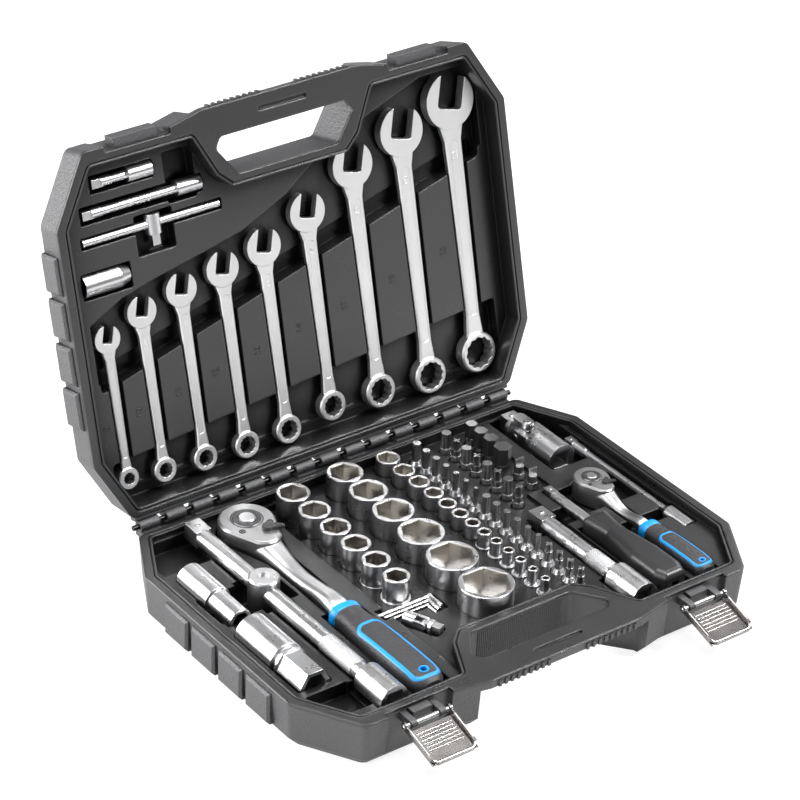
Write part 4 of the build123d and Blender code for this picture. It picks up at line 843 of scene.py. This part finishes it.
print(ball("long_bar_ball", "extension_long", "extension_long", from_end=8.0, **HALF_INCH_DRIVE),
      ball("short_bar_ball", "extension_short", "extension_short", from_end=8.0, **HALF_INCH_DRIVE),
      ball("joint_ball", "universal_joint_drive", "universal_joint_drive", from_end=6.0, **HALF_INCH_DRIVE),
      ball("slim_bar_ball", "slim_extension", "slim_extension", from_end=4.0, **QUARTER_DRIVE),
      ball("spinner_ball", "spinner", "spinner_shank", from_end=4.5, **QUARTER_DRIVE))

# %% [markdown]
# ## Pin heads of the universal joint
# The cross pins are riveted over outside the yokes. Each head is a dished button; the pair on the socket
# yoke faces sideways and the pair on the drive yoke faces up and down.

# %% Rivet heads
RIVET = ((0.0, -0.1), (3.3, -0.1), (3.3, 0.25), (2.9, 0.55), (1.5, 0.45), (0.0, 0.30))
YOKE_FACE = at(0.0, 0.0, 11.0)


def joint_rivets(name, body, turns):
    """Rivet heads round the middle of the joint, each turned about Y away from straight up."""
    centre = Matrix.Translation(pivot("universal_joint_raise"))
    sheet = bmesh.new()
    for turn in turns:
        turned(sheet, RIVET, centre @ Matrix.Rotation(turn, 4, "Y") @ YOKE_FACE, steps=32)
    return piece(name, sheet, STEEL, body)


print(joint_rivets("joint_side_rivets", "universal_joint_socket", (-pi / 2, pi / 2)).name,
      joint_rivets("joint_upright_rivets", "universal_joint_drive", (pi, 0.0)).name)

# %% [markdown]
# ## Ribbed handle recess
# Fingers close round the handle through the hole, and its inner wall is ribbed for a better hold. The
# liner is one corrugated strip with a flat back, a hand's width long.

# %% Ribs inside the handle
LINER_HALF = 38.0
LINER_FACE = -89.0
LINER_FOOT, LINER_TOP = 6.0, 37.0
FLUTE_PITCH, FLUTE_RISE, FLUTE_FLOOR = 1.7, 0.55, 0.12


def ribbed_liner():
    floor, crest = LINER_FACE - FLUTE_FLOOR, LINER_FACE - FLUTE_RISE
    outline = []
    for index in range(int(2 * LINER_HALF / FLUTE_PITCH)):
        x = -LINER_HALF + index * FLUTE_PITCH
        outline += [(x, floor), (x + 0.25 * FLUTE_PITCH, crest), (x + 0.60 * FLUTE_PITCH, crest),
                    (x + 0.85 * FLUTE_PITCH, floor)]
    back = LINER_FACE + OVERLAP
    outline += [(LINER_HALF, floor), (LINER_HALF, back), (-LINER_HALF, back)]
    sheet = bmesh.new()
    prism(sheet, outline, LINER_FOOT, LINER_TOP)
    bmesh.ops.triangulate(sheet, faces=[face for face in sheet.faces if len(face.verts) > 4])
    return piece("handle_liner", sheet, CASE, "base")


print(ribbed_liner().name)

# %% [markdown]
# ## Hinge flange
# The knuckles of the lid stand on a flange that runs the whole length of the hinge and hides the daylight
# above the knuckles of the base. It keeps just outside the circle of the knuckles, so it swings past them.

# %% Flange along the hinge
KNUCKLE_RADIUS = 4.4
KNUCKLE_GAP = 0.35
PIN_END = 2.2
FLANGE_ROOT = 0.5
FLANGE_FOOT, FLANGE_CREST = LID_RIM + 0.3, LID_RIM + 6.8
FLANGE_CORNERS = (0.6, 0.8)
ALONG_X = Matrix(((0, 0, 1, 0), (1, 0, 0, 0), (0, 1, 0, 0), (0, 0, 0, 1)))


def hinge_flange():
    half = extent("hinge_and_latch_pins").high.x - PIN_END
    wall = extent("base_tray").high.y - FLANGE_ROOT
    face = HINGE.y - KNUCKLE_RADIUS - KNUCKLE_GAP
    under, over = FLANGE_CORNERS
    profile = [(wall, FLANGE_FOOT), (face - under, FLANGE_FOOT), (face, FLANGE_FOOT + under),
               (face, FLANGE_CREST - over), (face - over, FLANGE_CREST), (wall, FLANGE_CREST)]
    sheet = bmesh.new()
    prism(sheet, profile, -half, half)
    return piece("hinge_flange", sheet, CASE, "lid", OPEN @ ALONG_X)


print(hinge_flange().name)

# %% [markdown]
# ## Rolled edges of the latches
# A latch is pressed from sheet, and its edge is rolled over a wire so that it does not cut the fingers.
# The roll runs down one side, round the tip and up the other side. It is a round section carried along a
# path: at each point the circle is drawn square to the direction in which the path goes on.

# %% Rolled latch edges
LATCH_SLOPE = radians(17.0)
ROLL_RADIUS = 1.1
ROLL_SIDES = 12
ROLL_FROM_PIN = ((18.3, -6.0, 1.0), (18.3, -28.0, 1.0), (18.1, -30.5, 0.6), (17.2, -32.4, -0.1),
                 (15.4, -33.6, -0.6), (13.0, -33.9, -0.7))


def bent_wire(sheet, path):
    turns = [2 * pi * step / ROLL_SIDES for step in range(ROLL_SIDES)]
    rings = []
    for index, point in enumerate(path):
        ahead = path[min(index + 1, len(path) - 1)] - path[max(index - 1, 0)]
        across = ahead.cross(UP).normalized()
        upward = across.cross(ahead).normalized()
        rings.append([point + ROLL_RADIUS * (cos(turn) * across + sin(turn) * upward) for turn in turns])
    skin(sheet, rings)


def rolled_edge(body):
    pin = pivot(body + "_hinge")
    left = [pin + Vector((-x, y, z)) for x, y, z in ROLL_FROM_PIN]
    right = [pin + Vector((x, y, z)) for x, y, z in ROLL_FROM_PIN]
    sheet = bmesh.new()
    bent_wire(sheet, left + right[::-1])
    return piece(body + "_roll", sheet, NICKEL, body, about_x(pin, LATCH_SLOPE))


print(rolled_edge("latch_left").name, rolled_edge("latch_right").name)

# %% [markdown]
# ## Size numbers
# The trays carry plain raised numbers beside the large sockets and the wrenches. They are written with the
# built-in letters, so that nothing depends on an outside font file, and turned into mesh before they are
# moved. In the lid they read upwards, and each wrench carries its own size in the sunk panel of its shank.

# %% Numbers on trays and wrenches
WRENCH_JAW = {22: -91.0, 19: -79.0, 17: -65.0, 14: -40.6, 13: -25.0, 12: -18.5, 11: -13.0, 10: -6.0, 8: 6.0}
LID_NUMBERS = {22: (134.7, 21.0), 19: (85.5, 30.0), 17: (40.4, 37.7), 14: (-1.1, 43.5), 13: (-39.4, 49.7),
               12: (-76.6, 55.6), 11: (-109.9, 60.6), 10: (-144.0, 66.2), 8: (-171.6, 69.9)}
LID_DECK = LID_RIM + 15.0
BASE_DECK = RIM - 8.5
WRENCH_LEVEL = LID_RIM + 18.2
LID_NUMBER_TALL, BASE_NUMBER_TALL = 5.4, 4.2
BESIDE_SOCKET = 4.6
CAPITAL = 0.7
READING_UP = Matrix.Rotation(pi, 4, "X") @ Matrix.Rotation(pi / 2, 4, "Z")


def letters(sheet, words, tall, place, thick):
    font = bpy.data.curves.new("digits", "FONT")
    font.body, font.size, font.extrude, font.resolution_u = words, tall / CAPITAL, thick / 2, 3
    font.align_x, font.align_y = "CENTER", "CENTER"
    writer = bpy.data.objects.new("digits", font)
    flat = bpy.data.meshes.new_from_object(writer)
    flat.transform(place)
    sheet.from_mesh(flat)
    bpy.data.objects.remove(writer)
    bpy.data.curves.remove(font)
    bpy.data.meshes.remove(flat)


def lid_numbers():
    sheet = bmesh.new()
    for size, (x, y) in LID_NUMBERS.items():
        letters(sheet, str(size), LID_NUMBER_TALL, at(x, y, LID_DECK) @ READING_UP, thick=0.7)
    return piece("lid_numbers", sheet, MARKS, "lid", OPEN)


def base_numbers():
    sheet = bmesh.new()
    for size in HALF_INCH:
        box = extent("socket_%02d" % size)
        place = at(box.high.x + BESIDE_SOCKET, box.middle.y, BASE_DECK)
        letters(sheet, str(size), BASE_NUMBER_TALL, place, thick=0.6)
    return piece("base_numbers", sheet, MARKS, "base")


def wrench_numbers():
    """A wrench grows with its size: its thickness, its head and the panel that the number stands in."""
    for size, jaw in WRENCH_JAW.items():
        thick = 0.16 * size + 2.8
        head = 0.80 * size + 4.0
        node = "wrench_%02d" % size
        spot = at(extent(node).middle.x, jaw + 2.0 * head, WRENCH_LEVEL - thick / 2 + 0.4)
        sheet = bmesh.new()
        letters(sheet, str(size), 0.24 * size + 0.6, spot @ READING_UP, thick=0.5)
        piece(node + "_number", sheet, SATIN, node, OPEN)
    return len(WRENCH_JAW)


print(lid_numbers().name, base_numbers().name, wrench_numbers(), "wrench numbers")

# %% [markdown]
# ## Floor and light
# A product picture is lit by large soft boxes over a white sweep. Bright metal only looks like metal when
# it has something to mirror, so the boxes are kept apart and the world between them stays grey.

# %% Floor, world and soft boxes
FLOOR_HALF = 6.0
FLOOR_GLOW = 0.84
WORLD_GREY = 0.10
LIT_POINT = Vector((0.0, 0.0, 0.12))
SOFT_BOXES = (("overhead", (0.0, 0.2, 1.8), (1.4, 1.0), 38.0),
              ("left", (-1.9, -0.4, 1.0), (0.8, 1.2), 22.0),
              ("back_left", (-1.5, 1.5, 1.0), (1.2, 1.2), 46.0),
              ("low_left", (-1.7, 1.2, 0.35), (1.0, 0.5), 32.0),
              ("right", (1.7, 0.7, 1.2), (0.7, 1.2), 17.0),
              ("key", (1.15, -1.0, 1.7), (0.6, 0.6), 58.0))


def pale_floor():
    sheet = bmesh.new()
    bmesh.ops.create_grid(sheet, x_segments=1, y_segments=1, size=FLOOR_HALF)
    floor = in_scene("floor", as_mesh("floor", sheet))
    finish = Finish("pale_floor", Base_Color=(0.30, 0.30, 0.30, 1.0), Roughness=0.9, Specular_IOR_Level=0.1,
                    Emission_Color=(1.0, 1.0, 1.0, 1.0), Emission_Strength=FLOOR_GLOW)
    floor.data.materials.append(finish.material)


def soft_box(name, place, size, power):
    data = bpy.data.lights.new(name, "AREA")
    data.shape = "RECTANGLE"
    data.size, data.size_y = size
    data.energy = power
    lamp = in_scene(name, data)
    aim = (LIT_POINT - Vector(place)).to_track_quat("-Z", "Y")
    lamp.matrix_world = Matrix.Translation(place) @ aim.to_matrix().to_4x4()


def grey_world(level):
    world = bpy.data.worlds.new("studio")
    world.use_nodes = True
    world.node_tree.nodes["Background"].inputs["Color"].default_value = (level, level, level, 1.0)
    bpy.context.scene.world = world


pale_floor()
grey_world(WORLD_GREY)
for described in SOFT_BOXES:
    soft_box(*described)
bpy.context.scene.view_settings.view_transform = "Standard"
print(len(SOFT_BOXES), "soft boxes")
